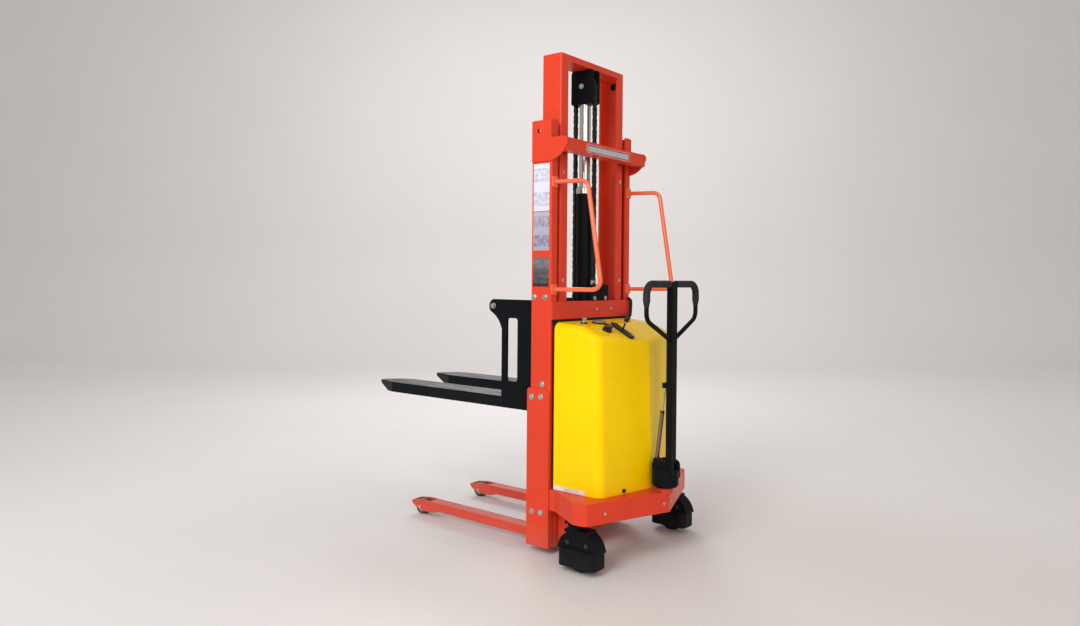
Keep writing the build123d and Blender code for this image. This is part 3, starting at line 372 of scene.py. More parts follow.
def add_lathe(bm, profile, centre, along, steps=SMOOTH, wave=None):
    """Turns a closed profile of (distance along, radius) round an axis.

    wave(angle, along, radius) gives the radius there, where the piece isn't round.
    """
    turn = basis(along)
    rings = []
    for i in range(steps):
        angle = tau * i / steps
        ring = []
        for distance, radius in profile:
            r = wave(angle, distance, radius) if wave else radius
            ring.append(bm.verts.new(centre + turn @ Vector((r * cos(angle), r * sin(angle), distance))))
        rings.append(ring)
    count = len(profile)
    for i in range(steps):
        for k in range(count):
            a, b = rings[i], rings[(i + 1) % steps]
            corners = (a[k], b[k], b[(k + 1) % count], a[(k + 1) % count])
            if len({tuple(round(c, 7) for c in v.co) for v in corners}) > 2:
                bm.faces.new(corners)


def rod_profile(length, radius, ease=0.0):
    """Closed lathe profile of a solid rod with eased ends, from 0 to length."""
    half = [(0, 0), (0, radius - ease), (ease, radius)]
    return half + [(length - z, r) for z, r in reversed(half)]


def add_rod(bm, start, end, radius, steps=24, ease=0.0):
    add_lathe(bm, rod_profile((end - start).length, radius, ease), start, end - start, steps)


def add_prism(bm, outline, centre, along, thickness):
    """Extrudes a plan outline of (x, y) points from centre along a direction."""
    turn = basis(along)
    low = [bm.verts.new(centre + turn @ Vector((x, y, 0))) for x, y in outline]
    high = [bm.verts.new(centre + turn @ Vector((x, y, thickness))) for x, y in outline]
    bm.faces.new(low[::-1])
    bm.faces.new(high)
    for i in range(len(outline)):
        k = (i + 1) % len(outline)
        bm.faces.new((low[i], low[k], high[k], high[i]))


def add_side_prism(bm, outline, y, thickness):
    """Extrudes an (x, z) outline towards +Y."""
    low = [bm.verts.new((x, y, z)) for x, z in outline]
    high = [bm.verts.new((x, y + thickness, z)) for x, z in outline]
    bm.faces.new(low)
    bm.faces.new(high[::-1])
    for i in range(len(outline)):
        k = (i + 1) % len(outline)
        bm.faces.new((low[i], high[i], high[k], low[k]))


def add_box(bm, low, high):
    outline = [(low.x, low.z), (high.x, low.z), (high.x, high.z), (low.x, high.z)]
    add_side_prism(bm, outline, low.y, high.y - low.y)


def rounded_outline(width, height, radius, steps=6):
    """Rectangle outline with round corners, about its centre."""
    points = []
    for corner in range(4):
        cx = (width / 2 - radius) * (1, -1, -1, 1)[corner]
        cy = (height / 2 - radius) * (1, 1, -1, -1)[corner]
        for i in range(steps + 1):
            angle = pi / 2 * (corner + i / steps)
            points.append((cx + radius * cos(angle), cy + radius * sin(angle)))
    return points


def smooth_path(points, steps=8):
    """Catmull-Rom curve through points."""
    ends = [2 * points[0] - points[1]] + list(points) + [2 * points[-1] - points[-2]]
    path = []
    for a, b, c, d in zip(ends, ends[1:], ends[2:], ends[3:]):
        for i in range(steps):
            t = i / steps
            square = (2 * a - 5 * b + 4 * c - d) * t**2
            cube = (3 * b - a - 3 * c + d) * t**3
            path.append(0.5 * (2 * b + (c - a) * t + square + cube))
    return path + [points[-1]]


def rounded_path(points, radius, steps=8):
    """Straight runs joined by arcs of one radius."""
    path = [points[0]]
    for before, corner, after in zip(points, points[1:], points[2:]):
        u = (before - corner).normalized()
        v = (after - corner).normalized()
        half = u.angle(v) / 2
        reach = radius * cos(half) / sin(half)
        middle = corner + (u + v).normalized() * (radius / sin(half))
        a = corner + u * reach - middle
        b = corner + v * reach - middle
        for i in range(steps + 1):
            path.append(middle + a.slerp(b, i / steps).normalized() * radius)
    return path + [points[-1]]


def resampled(path, spacing):
    """The same path with points at an even spacing."""
    lengths = [0.0]
    for a, b in zip(path, path[1:]):
        lengths.append(lengths[-1] + (b - a).length)
    count = max(2, round(lengths[-1] / spacing))
    even = []
    k = 0
    for i in range(count + 1):
        want = lengths[-1] * i / count
        while k < len(path) - 2 and lengths[k + 1] < want:
            k += 1
        span = max(lengths[k + 1] - lengths[k], 1e-9)
        even.append(path[k].lerp(path[k + 1], (want - lengths[k]) / span))
    return even


def add_tube(bm, path, radius, steps=16, radius_at=None):
    """Sweeps a circle along a path with closed ends; radius_at(distance, total) varies it."""
    total = sum((b - a).length for a, b in zip(path, path[1:]))
    rings = []
    side = None
    done = 0.0
    for i, point in enumerate(path):
        along = (path[min(i + 1, len(path) - 1)] - path[max(i - 1, 0)]).normalized()
        if side is None:
            side = along.orthogonal().normalized()
        side = (side - along * side.dot(along)).normalized()
        up = along.cross(side)
        if i:
            done += (point - path[i - 1]).length
        r = radius_at(done, total) if radius_at else radius
        ring = []
        for k in range(steps):
            angle = tau * k / steps
            ring.append(bm.verts.new(point + (side * cos(angle) + up * sin(angle)) * r))
        rings.append(ring)
    for a, b in zip(rings, rings[1:]):
        for k in range(steps):
            bm.faces.new((a[k], a[(k + 1) % steps], b[(k + 1) % steps], b[k]))
    bm.faces.new(rings[0][::-1])
    bm.faces.new(rings[-1])


def hexagon(radius):
    return [(radius * cos(tau * i / 6), radius * sin(tau * i / 6)) for i in range(6)]


def add_hex_bolt(bm, seat, outward, across, height, washer=1.7):
    """Washer and hexagon head on a face."""
    out = outward.normalized()
    add_rod(bm, seat, seat + out * height * 0.25, across / 2 * washer, 28, height * 0.05)
    add_prism(bm, hexagon(across * 0.56), seat + out * height * 0.25, out, height * 0.75)


def add_socket_screw(bm, seat, outward, radius, height):
    """Round head with a hexagon socket."""
    ease = radius * 0.18
    socket = radius * 0.5
    profile = [
        (0, 0),
        (0, radius),
        (height - ease, radius),
        (height, radius - ease),
        (height, socket),
        (height * 0.45, socket),
        (height * 0.45, 0),
    ]
    add_lathe(bm, profile, seat, outward, 24)


def add_weld(bm, start, end, radius):
    """Fillet weld: a bead of overlapping ripples."""
    length = (end - start).length
    count = max(4, round(length / (radius * 0.45)))
    path = [start.lerp(end, i / count) for i in range(count + 1)]

    def ripple(distance, total):
        wobble = noise.noise(start + Vector((distance * 90, 0, 0)))
        return radius * (0.88 + 0.13 * abs(sin(distance / radius * 1.5)) + 0.08 * wobble)

    add_tube(bm, path, radius, 10, ripple)


SIDES = ("left", "right")


def mirrored_sides():
    """The name of each side and the sign of y there."""
    return zip(SIDES, (1, -1))


# ---------------------------------------- places taken from the CAD nodes
outer = Box("outer_rail_left")
inner = Box("inner_rail_left")
hood_box = Box("hood")
deck_box = Box("deck")
beam = Box("mid_beam")
crossbar = Box("top_crossbar")
foot = Box("mast_foot")
leg = Box("leg_left")
fork = Box("fork_left")
upright = Box("upright_left")
plate = Box("badge_plate")
pulley_centre = Box("chain_pulley").centre


# ---------------------------------------- leaf chain
CHAIN_PITCH = 25.4 * MM
CHAIN_PLATE = 1.7 * MM
CHAIN_PIN = 2.6 * MM


def link_outline(pitch, radius):
    """Waisted figure of eight, long axis vertical, as (x, z) points."""
    points = []
    steps = 6
    for end in (1, -1):
        for i in range(steps + 1):
            angle = pi * i / steps if end > 0 else pi + pi * i / steps
            points.append((radius * cos(angle), end * pitch / 2 + radius * sin(angle)))
        points.append((-end * radius * 0.78, 0))
    return points


def add_link(bm, centre, along, pitch, radius, half_width, odd):
    """One row of plates; odd and even rows interleave across the chain."""
    outline = link_outline(pitch, radius)
    rows = 5 if odd else 6
    spread = half_width - CHAIN_PLATE / 2 - (CHAIN_PLATE if odd else 0)
    across = Vector((along.z, 0, -along.x))
    for k in range(rows):
        y = -spread + 2 * spread * k / (rows - 1)
        low = [centre + across * x + along * z + Y_AXIS * (y - CHAIN_PLATE / 2) for x, z in outline]
        near = [bm.verts.new(p) for p in low]
        far = [bm.verts.new(p + Y_AXIS * CHAIN_PLATE) for p in low]
        bm.faces.new(near)
        bm.faces.new(far[::-1])
        for i in range(len(near)):
            j = (i + 1) % len(near)
            bm.faces.new((near[i], far[i], far[j], near[j]))


def add_chain_pin(bm, place, half_width):
    reach = Y_AXIS * (half_width + 0.8 * MM)
    add_rod(bm, place - reach, place + reach, CHAIN_PIN, 12, 0.4 * MM)


def chain_run(name, node):
    """Straight run between its fixed lower end and the pulley, laid out at its present length; this piece
    rides no body and does not lengthen.
    """
    run = Box(node)
    half_width = run.size.y / 2
    radius = run.size.x / 2
    count = round(run.size.z / CHAIN_PITCH)
    pitch = run.size.z / count
    bm = bmesh.new()
    for i in range(count):
        centre = Vector((run.centre.x, run.centre.y, run.low.z + pitch * (i + 0.5)))
        add_link(bm, centre, Z_AXIS, pitch, radius, half_width, i % 2)
        add_chain_pin(bm, centre + Z_AXIS * pitch / 2, half_width)
    obj = piece(name, bm, oily_steel, None, (node,))
    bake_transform(obj)


def chain_over_pulley():
    wrap = Box("chain_wrap")
    plate_radius = Box("chain_rear_run").size.x / 2
    radius = wrap.size.x / 2 - plate_radius
    count = round(pi * radius / CHAIN_PITCH)
    bm = bmesh.new()
    for i in range(count):
        angle = pi * (i + 0.5) / count
        spoke = Vector((cos(angle), 0, sin(angle)))
        along = Vector((-sin(angle), 0, cos(angle)))
        chord = 2 * radius * sin(pi / count / 2)
        add_link(bm, pulley_centre + spoke * radius, along, chord, plate_radius, wrap.size.y / 2, i % 2)
        end = Vector((cos(pi * i / count), 0, sin(pi * i / count)))
        add_chain_pin(bm, pulley_centre + end * radius, wrap.size.y / 2)
    piece("chain_over_pulley", bm, oily_steel, "inner_mast", ("chain_wrap",))


chain_run("chain_rear", "chain_rear_run")
chain_run("chain_front", "chain_front_run")
chain_over_pulley()


def chain_anchors():
    """Block with a pin at each fixed end of the chain."""
    for name, node, body in (
        ("chain_anchor_rear", "chain_rear_run", "chassis"),
        ("chain_anchor_front", "chain_front_run", "carriage"),
    ):
        run = Box(node)
        end = Vector((run.centre.x, 0, run.low.z))
        half = run.size.y / 2 + 2.5 * MM
        bm = bmesh.new()
        add_box(bm, end + Vector((-5 * MM, -half, -2 * MM)), end + Vector((5 * MM, half, 20 * MM)))
        for side in (1, -1):
            seat = end + Vector((0, side * half, 10 * MM))
            add_rod(bm, seat, seat + Y_AXIS * side * 3 * MM, 4 * MM, 18, 0.6 * MM)
        piece(name, bm, zinc, body, rounding=0.8 * MM)


chain_anchors()


# ---------------------------------------- wheels
def load_rollers():
    """Moulded tread on a steel core, with bearing shields on both faces."""
    for side in SIDES:
        wheel = Box(f"load_wheel_{side}")
        half = wheel.size.y / 2
        r = wheel.size.z / 2
        bore = Box("load_axles").size.z / 2 + 0.05 * MM
        groove = 1.2 * MM
        tread = [(-half + 1 * MM, r * 0.62), (-half + 1 * MM, r - 3 * MM), (-half + 4 * MM, r)]
        for k in range(5):
            y = half * (-0.6 + 0.3 * k)
            tread += [(y - groove, r), (y, r - 0.8 * MM), (y + groove, r)]
        tread += [(half - 4 * MM, r), (half - 1 * MM, r - 3 * MM), (half - 1 * MM, r * 0.62)]
        bm = bmesh.new()
        add_lathe(bm, tread, wheel.centre, Y_AXIS, 64)
        piece(f"load_tread_{side}", bm, roller_nylon, f"load_wheel_{side}", (f"load_wheel_{side}",))
        core = [
            (-half, bore),
            (-half, r * 0.34),
            (-half + 1.5 * MM, r * 0.38),
            (-half + 1.5 * MM, r * 0.62),
            (half - 1.5 * MM, r * 0.62),
            (half - 1.5 * MM, r * 0.38),
            (half, r * 0.34),
            (half, bore),
        ]
        bm = bmesh.new()
        add_lathe(bm, core, wheel.centre, Y_AXIS, 48)
        piece(f"load_core_{side}", bm, zinc, f"load_wheel_{side}")


def add_rim_rib(bm, centre, angle, face, reach):
    """Flat rib on one face of a rim, between two distances from the axle."""
    out = Vector((cos(angle), 0, sin(angle)))
    across = Vector((-sin(angle), 0, cos(angle))) * 2 * MM
    near, far = reach
    outline = ((near, 13 * MM), (far, 13 * MM), (far, 3 * MM), (near, 3 * MM))
    corners = [centre + out * distance + Y_AXIS * face * depth for distance, depth in outline]
    one = [bm.verts.new(corner - across) for corner in corners]
    two = [bm.verts.new(corner + across) for corner in corners]
    bm.faces.new(one)
    bm.faces.new(two[::-1])
    for i in range(4):
        k = (i + 1) % 4
        bm.faces.new((one[i], two[i], two[k], one[k]))


def caster_wheels():
    """Solid tyre on a dished rim with ribs, hub and sealed bearing."""
    for side in SIDES:
        wheel = Box(f"caster_wheel_{side}")
        half = wheel.size.y / 2
        r = wheel.size.z / 2
        body = f"caster_wheel_{side}"
        rim = r * 0.66
        wide = 23 * MM
        shoulder = [(wide - 3 * MM, rim), (wide, rim + 5 * MM), (wide, r * 0.90), (wide * 0.62, r - 1.2 * MM)]
        tyre_profile = [(-y, radius) for y, radius in shoulder]
        tyre_profile += [(wide * t, r - 0.6 * MM * t * t) for t in (-0.4, -0.15, 0.15, 0.4)]
        tyre_profile += shoulder[::-1]
        bm = bmesh.new()
        add_lathe(bm, tyre_profile, wheel.centre, Y_AXIS, 96)
        piece(f"caster_tyre_{side}", bm, tyre, body, (f"caster_wheel_{side}",))
        web = 5 * MM
        rim_profile = [
            (-half, 10.1 * MM),
            (-half, 20 * MM),
            (-web * 2.2, 23 * MM),
            (-web, 27 * MM),
            (-web, rim - 7 * MM),
            (-wide + 5 * MM, rim - 3 * MM),
            (-wide + 4 * MM, rim + 1 * MM),
            (wide - 4 * MM, rim + 1 * MM),
            (wide - 5 * MM, rim - 3 * MM),
            (web, rim - 7 * MM),
            (web, 27 * MM),
            (web * 2.2, 23 * MM),
            (half, 20 * MM),
            (half, 10.1 * MM),
        ]
        bm = bmesh.new()
        add_lathe(bm, rim_profile, wheel.centre, Y_AXIS, 64)
        for i in range(8):
            for face in (-1, 1):
                add_rim_rib(bm, wheel.centre, tau * i / 8, face, (24 * MM, rim - 2 * MM))
        piece(f"caster_rim_{side}", bm, black_plastic, body, rounding=0.4 * MM)
        shield = [(0, 10.2 * MM), (0, 18 * MM), (0.7 * MM, 17.4 * MM), (0.7 * MM, 10.6 * MM)]
        bm = bmesh.new()
        for face in (-1, 1):
            seat = wheel.centre + Y_AXIS * face * (half - 0.4 * MM)
            add_lathe(bm, shield, seat, Y_AXIS * face, 40)
        piece(f"caster_bearing_{side}", bm, zinc, body)


def caster_bolts():
    """Bolts on the cheeks of each caster's fender, above the foot guard."""
    cheek, ahead, above = 35 * MM, 46 * MM, 44 * MM  # distances from the wheel's centre
    for side in SIDES:
        wheel = Box(f"caster_wheel_{side}")
        bm = bmesh.new()
        for face in (-1, 1):
            for x in (-ahead, ahead):
                seat = wheel.centre + Vector((x, face * cheek, above))
                add_hex_bolt(bm, seat, Y_AXIS * face, 11 * MM, 5 * MM)
        piece(f"caster_bolts_{side}", bm, cast_iron, f"caster_fork_{side}", rounding=0.4 * MM)


load_rollers()
caster_wheels()
caster_bolts()


# ---------------------------------------- tiller grips
def tiller_grips():
    """Ribbed rubber grips from the tapered lower ends, round the corners to the bar."""
    grips = Box("grips")
    plane_x = grips.centre.x
    reach = grips.high.y - grips.size.x / 2
    top = grips.high.z - grips.size.x / 2
    low = grips.low.z
    full = grips.size.x / 2
    near = Box("tiller_bar").size.x * 0.5
    for side, sign in mirrored_sides():
        points = [
            Vector((plane_x, sign * reach, low)),
            Vector((plane_x, sign * reach, top)),
            Vector((plane_x, sign * near, top)),
        ]
        path = resampled(rounded_path(points, 44 * MM, 12), 1.6 * MM)

        def girth(distance, total):
            tapered = min(1.0, 0.66 + 0.34 * distance / (26 * MM))
            ribbed = distance > 34 * MM and (distance % (9 * MM)) < 2.2 * MM
            return full * tapered * (0.93 if ribbed else 1.0)

        bm = bmesh.new()
        add_tube(bm, path, full, 28, girth)
        piece(f"grip_{side}", bm, grip_rubber, "tiller", ("grips",) if sign > 0 else ())


tiller_grips()


# ---------------------------------------- fasteners and welds
# x and z in millimetres
SIDE_BOLTS = ((89, 1095), (31, 1095), (42, 724), (95, 668), (45, 671), (88, 177), (41, 178))


def mast_fasteners():
    """Plated bolts on the sides of the mast, with washers, and the screws of the middle beam."""
    plates = Box("side_plates")
    bm = bmesh.new()
    for x, z in SIDE_BOLTS:
        height = z * MM
        reach = plates.high.y if height < plates.high.z else outer.high.y
        for sign in (1, -1):
            add_hex_bolt(bm, Vector((x * MM, sign * reach, height)), Y_AXIS * sign, 18 * MM, 7 * MM, 1.45)
    for y in (-18 * MM, -133 * MM):
        seat = Vector((beam.low.x, y, beam.centre.z))
        add_socket_screw(bm, seat, -X_AXIS, 7.5 * MM, 4.5 * MM)
    piece("mast_fasteners", bm, zinc, "chassis", ("mast_bolts",), rounding=0.5 * MM)


INNER_SCREW_Y = 0.221
INNER_SCREW_Z = (1.634, 1.169)
PLUG_DROP = 0.052  # of the plugs below the top of the inner mast


def inner_mast_details():
    """Flush screws on the rear faces of the inner channels, and the plugs in their webs."""
    bm = bmesh.new()
    for sign in (1, -1):
        for z in INNER_SCREW_Z:
            seat = Vector((inner.low.x, sign * INNER_SCREW_Y, z))
            add_lathe(bm, rod_profile(0.3 * MM, 8 * MM), seat, -X_AXIS, 28)
    piece("inner_mast_screws", bm, zinc, "inner_mast")
    web = inner.high.y - 8 * MM
    bm = bmesh.new()
    for sign in (1, -1):
        seat = Vector((inner.centre.x, sign * web, inner.high.z - PLUG_DROP))
        plug = [(0, 0), (0, 18), (1.6, 16.5), (1.6, 12), (0.6, 10), (0.6, 0)]
        add_lathe(bm, [(depth * MM, radius * MM) for depth, radius in plug], seat, -Y_AXIS * sign, 40)
    piece("inner_mast_plugs", bm, black_rubber, "inner_mast")


def anchor_bolts():
    """Bolts through the plate that holds the chain's rear end."""
    anchor = Box("chain_anchor")
    bm = bmesh.new()
    for y in (-2 * MM, -88 * MM):
        seat = Vector((anchor.low.x, y, anchor.low.z + 11 * MM))
        add_hex_bolt(bm, seat, -X_AXIS, 12 * MM, 5 * MM)
    piece("anchor_bolts", bm, zinc, "chassis", rounding=0.4 * MM)


DECK_CORNER = Vector((-0.258, 0.404, 0))
DECK_APEX = Vector((-0.405, 0, 0))


def deck_screws():
    """Screws along the rear skirt of the deck."""
    bm = bmesh.new()
    for sign in (1, -1):
        corner = Vector((DECK_CORNER.x, DECK_CORNER.y * sign, 0))
        along = (DECK_APEX - corner).normalized()
        out = Vector((along.y, -along.x, 0)) * sign
        for share in (0.22, 0.93):
            seat = corner.lerp(DECK_APEX, share)
            seat.z = deck_box.low.z + 39 * MM
            add_socket_screw(bm, seat - out * 0.3 * MM, out, 6.5 * MM, 4 * MM)
    piece("deck_screws", bm, zinc, "chassis")


def mast_welds():
    """Beads where the mast's parts are joined."""
    bm = bmesh.new()
    bead = 3.2 * MM
    for sign in (1, -1):
        edge = outer.low.y * sign
        add_weld(bm, Vector((foot.high.x, edge, foot.low.z)), Vector((foot.high.x, edge, foot.high.z)), bead)
        for z in (leg.high.z, leg.low.z + 18 * MM):
            low = Vector((leg.low.x, sign * leg.low.y, z))
            add_weld(bm, low, Vector((leg.low.x, sign * leg.high.y, z)), bead)
        for z in (crossbar.low.z, crossbar.high.z):
            a = Vector((crossbar.low.x + 6 * MM, sign * outer.high.y, z))
            add_weld(bm, a, Vector((crossbar.high.x - 4 * MM, sign * outer.high.y, z)), bead)
    piece("mast_welds", bm, red_paint, "chassis")


def gusset_strips():
    """Flat strips on the rear of the mast that join the gussets under the deck to the channels."""
    gusset_face = 246 * MM
    bm = bmesh.new()
    for sign in (1, -1):
        y_low, y_high = sorted((sign * gusset_face, sign * (outer.low.y + 3 * MM)))
        low = Vector((-4 * MM, y_low, foot.low.z + 4 * MM))
        add_box(bm, low, Vector((-0.2 * MM, y_high, deck_box.low.z - 1 * MM)))
    piece("gusset_strips", bm, red_paint, "chassis", rounding=0.6 * MM)


def carriage_welds():
    """Beads between the uprights, the cross plates and the forks."""
    bm = bmesh.new()
    bead = 3.0 * MM
    heel, riser = 0.19, 0.11  # lengths of the beads along the fork and up the upright
    inside = upright.low.y
    front = fork.low.x
    for sign in (1, -1):
        a = Vector((front + 2 * MM, sign * inside, fork.high.z))
        add_weld(bm, a, Vector((upright.low.x + heel, sign * inside, fork.high.z)), bead)
        low = Vector((front, sign * inside, fork.high.z))
        add_weld(bm, low, low + Z_AXIS * riser, bead)
        across = Vector((front, sign * fork.low.y, fork.high.z))
        add_weld(bm, across, Vector((front, sign * inside, fork.high.z)), bead)
    piece("carriage_welds", bm, black_paint, "carriage")


mast_fasteners()
inner_mast_details()
anchor_bolts()
deck_screws()
mast_welds()
gusset_strips()
carriage_welds()


# ---------------------------------------- labels
def side_labels():
    """Blank stickers down the outer faces of the mast."""
    inset = 11 * MM
    film = 0.3 * MM
    # name, lower and upper edge, colours of ground and blocks, number of blocks
    specs = (
        ("label_upper", 1.462, 1.664, PALE_LABEL, LABEL_GREY, 2),
        ("label_lower", 1.294, 1.458, DULL_LABEL, DULL_MARKS, 2),
        ("label_dark", 1.140, 1.266, DARK_LABEL, DARK_MARKS, 2),
    )
    for name, low, high, ground, block, count in specs:
        material = printed_label(name, ground, block, count, low, high)
        for side, sign in mirrored_sides():
            width = outer.size.x - 2 * inset
            y = outer.high.y * sign + (0 if sign > 0 else -film)
            outline = [
                (outer.centre.x + x, (low + high) / 2 + z)
                for x, z in rounded_outline(width, high - low, 3 * MM)
            ]
            bm = bmesh.new()
            add_side_prism(bm, outline, y, film)
            piece(f"{name}_{side}", bm, material, "chassis")


side_labels()


def badge_border():
    """Raised frame, dark inner line and two rivets on the blank plate."""
    for name, material, outside, inside, height in (
        ("badge_border", badge_rim, 0, 6 * MM, 1.0 * MM),
        ("badge_line", black_plastic, 6 * MM, 8.5 * MM, 0.6 * MM),
    ):
        outer_edge = rounded_outline(plate.size.y - 2 * outside, plate.size.z - 2 * outside, 8 * MM - outside)
        inner_edge = rounded_outline(plate.size.y - 2 * inside, plate.size.z - 2 * inside, 9 * MM - inside)
        back, front = plate.low.x, plate.low.x - height
        bm = bmesh.new()
        rings = []
        for outline, x in ((outer_edge, back), (outer_edge, front), (inner_edge, front), (inner_edge, back)):
            rings.append([bm.verts.new((x, plate.centre.y + a, plate.centre.z + b)) for a, b in outline])
        count = len(outer_edge)
        for k in range(4):
            low, high = rings[k], rings[(k + 1) % 4]
            for i in range(count):
                j = (i + 1) % count
                bm.faces.new((low[i], low[j], high[j], high[i]))
        piece(name, bm, material, "chassis")
    bm = bmesh.new()
    for sign in (1, -1):
        seat = Vector((plate.low.x, plate.centre.y + sign * (plate.size.y / 2 - 17 * MM), plate.centre.z))
        add_socket_screw(bm, seat, -X_AXIS, 3 * MM, 1.6 * MM)
    piece("badge_rivets", bm, zinc, "chassis")


badge_border()


# ---------------------------------------- hood trim
def hood_trim():
    """A rubber seal round the hood's front, dark partly as painted shade of the gap to the mast, a black
    strip under the beam that is painted shade of the gap there, and the pale kick strip.
    """
    strip_length = 0.164
    width = hood_box.high.y
    front = hood_box.high.x
    seal = 5 * MM
    # black seal along the hood's front: a real seal, also painted shade for the gap to the mast
    bm = bmesh.new()
    points = [
        Vector((front + seal, width - 4 * MM, hood_box.low.z + 4 * MM)),
        Vector((front + seal, width - 4 * MM, hood_box.high.z - 5 * MM)),
        Vector((front + seal, -width + 4 * MM, hood_box.high.z - 5 * MM)),
        Vector((front + seal, -width + 4 * MM, hood_box.low.z + 4 * MM)),
    ]
    add_tube(bm, resampled(rounded_path(points, 24 * MM), 8 * MM), seal, 12)
    piece("hood_seal_and_gap_shade", bm, black_rubber, "chassis")
    # black strip under the beam: painted shade for the gap between beam and hood roof
    bm = bmesh.new()
    low = Vector((beam.low.x + 1 * MM, -width, hood_box.high.z - 12 * MM))
    add_box(bm, low, Vector((beam.high.x - 1 * MM, width, beam.low.z + 0.5 * MM)))
    piece("beam_gap_shade_strip", bm, black_rubber, "chassis", rounding=0.8 * MM)
    bm = bmesh.new()
    low = Vector((front - strip_length, width, hood_box.low.z + 1 * MM))
    add_box(bm, low, Vector((front - 2 * MM, width + 2.5 * MM, hood_box.low.z + 19 * MM)))
    piece("kick_strip", bm, pale_strip, "chassis", rounding=0.8 * MM)


HOOD_CORNER_X = -0.250  # at the foot of the hood
HOOD_APEX_X = -0.318


def hood_catch():
    """Square catch low on the rear left facet of the hood."""
    corner = Vector((HOOD_CORNER_X, hood_box.high.y, 0))
    apex = Vector((HOOD_APEX_X, 0, 0))
    along = (apex - corner).normalized()
    out = Vector((along.y, -along.x, 0))
    seat = corner.lerp(apex, 0.45)
    seat.z = hood_box.low.z + 13 * MM
    bm = bmesh.new()
    add_prism(bm, rounded_outline(17 * MM, 15 * MM, 2 * MM), seat - out * 2 * MM, out, 5 * MM)
    piece("hood_catch", bm, black_rubber, "chassis", rounding=0.6 * MM)


hood_trim()
hood_catch()


# ---------------------------------------- roof controls
ROOF_BREAK = (-0.142, 0.978)  # x and z where the roof turns steeper
FRONT_SLOPE = atan2(12, 128)
REAR_SLOPE = atan2(92, 203)
GAUGE_AT = (-0.108, 0.105)
LEVER_AT = (-0.205, 0.072)
LEVER_TURN = -0.2
KEY_AT = (-0.086, 0.186)


def roof_spot(x, y):
    """Point on the roof and the roof's outward direction there."""
    slope = REAR_SLOPE if x < ROOF_BREAK[0] else FRONT_SLOPE
    z = ROOF_BREAK[1] + (x - ROOF_BREAK[0]) * tan(slope)
    return Vector((x, y, z)), Vector((-sin(slope), 0, cos(slope)))


def gauge():
    """Round charge gauge: bezel, dial with plain ticks, needle and lens."""
    seat, up = roof_spot(*GAUGE_AT)
    top = seat + up * 9 * MM
    bm = bmesh.new()
    rim = [(-2, 26), (-2, 30.6), (2.6, 30.6), (3.8, 29.4), (3.8, 27.6), (2.2, 26)]
    add_lathe(bm, [(z * MM, r * MM) for z, r in rim], top, up, 64)
    piece("gauge_bezel", bm, grey_plastic, "chassis")
    bm = bmesh.new()
    add_lathe(bm, rod_profile(0.6 * MM, 26.2 * MM), top, up, 64)
    piece("gauge_dial", bm, dial_white, "chassis")
    bm = bmesh.new()
    for i in range(11):
        angle = radians(210 - 24 * i)
        long_tick = i % 5 == 0
        inner_end = (17 if long_tick else 20) * MM
        half = (0.7 if long_tick else 0.4) * MM
        outline = [(inner_end, -half), (23.5 * MM, -half), (23.5 * MM, half), (inner_end, half)]
        turned = [(x * cos(angle) - y * sin(angle), x * sin(angle) + y * cos(angle)) for x, y in outline]
        add_prism(bm, turned, top + up * 0.6 * MM, up, 0.15 * MM)
    add_lathe(bm, rod_profile(1.6 * MM, 3.4 * MM, 0.4 * MM), top + up * 0.6 * MM, up, 28)
    piece("gauge_ticks", bm, black_plastic, "chassis")
    bm = bmesh.new()
    needle = [(-5 * MM, -1.1 * MM), (21 * MM, -0.3 * MM), (21 * MM, 0.3 * MM), (-5 * MM, 1.1 * MM)]
    add_prism(bm, needle, top + up * 1.2 * MM, up, 0.5 * MM)
    piece("gauge_needle", bm, shade_darkened_red_plastic, "chassis")
    bm = bmesh.new()
    add_lathe(bm, rod_profile(0.8 * MM, 26.6 * MM, 0.3 * MM), top + up * 2.3 * MM, up, 64)
    piece("gauge_lens", bm, lens, "chassis")


def lever_details():
    """Screws at the ends of the lever's plate, a collar on the lever and a ring round the key barrel."""
    seat, up = roof_spot(*LEVER_AT)
    up_slope = Vector((cos(REAR_SLOPE), 0, sin(REAR_SLOPE)))
    along = up_slope * cos(LEVER_TURN) + Y_AXIS * sin(LEVER_TURN)
    bm = bmesh.new()
    for end in (-1, 1):
        add_socket_screw(bm, seat + along * end * 62 * MM + up * 12 * MM, up, 4.2 * MM, 2.4 * MM)
    key_seat, key_up = roof_spot(*KEY_AT)
    ring = [(0, 8 * MM), (0, 13 * MM), (1.5 * MM, 12.4 * MM), (1.5 * MM, 8 * MM)]
    add_lathe(bm, ring, key_seat + key_up * 7 * MM, key_up, 40)
    piece("control_screws", bm, zinc, "chassis")
    bm = bmesh.new()
    collar = [(0, 0), (0, 5.5 * MM), (1 * MM, 6.5 * MM), (6 * MM, 6.5 * MM), (7 * MM, 5.5 * MM), (7 * MM, 0)]
    add_lathe(bm, collar, seat + up * 42 * MM, up, 28)
    piece("lever_collar", bm, zinc, "lift_lever")


gauge()
lever_details()


def control_cable():
    """Black cable that leaves the roof and runs behind the right end of the beam."""
    y = -(outer.high.y - 16 * MM)
    points = [
        Vector((-0.045, y * 0.78, hood_box.high.z - 8 * MM)),
        Vector((-0.040, y * 0.86, hood_box.high.z + 14 * MM)),
        Vector((beam.low.x - 12 * MM, y * 0.97, beam.low.z + 6 * MM)),
        Vector((beam.low.x - 9 * MM, y, beam.centre.z)),
        Vector((beam.low.x - 8 * MM, y, beam.high.z - 4 * MM)),
        Vector((beam.low.x + 2 * MM, y + 12 * MM, beam.high.z + 9 * MM)),
    ]
    bm = bmesh.new()
    add_tube(bm, resampled(smooth_path(points), 4 * MM), 7 * MM, 14)
    piece("control_cable", bm, black_rubber, "chassis")


control_cable()


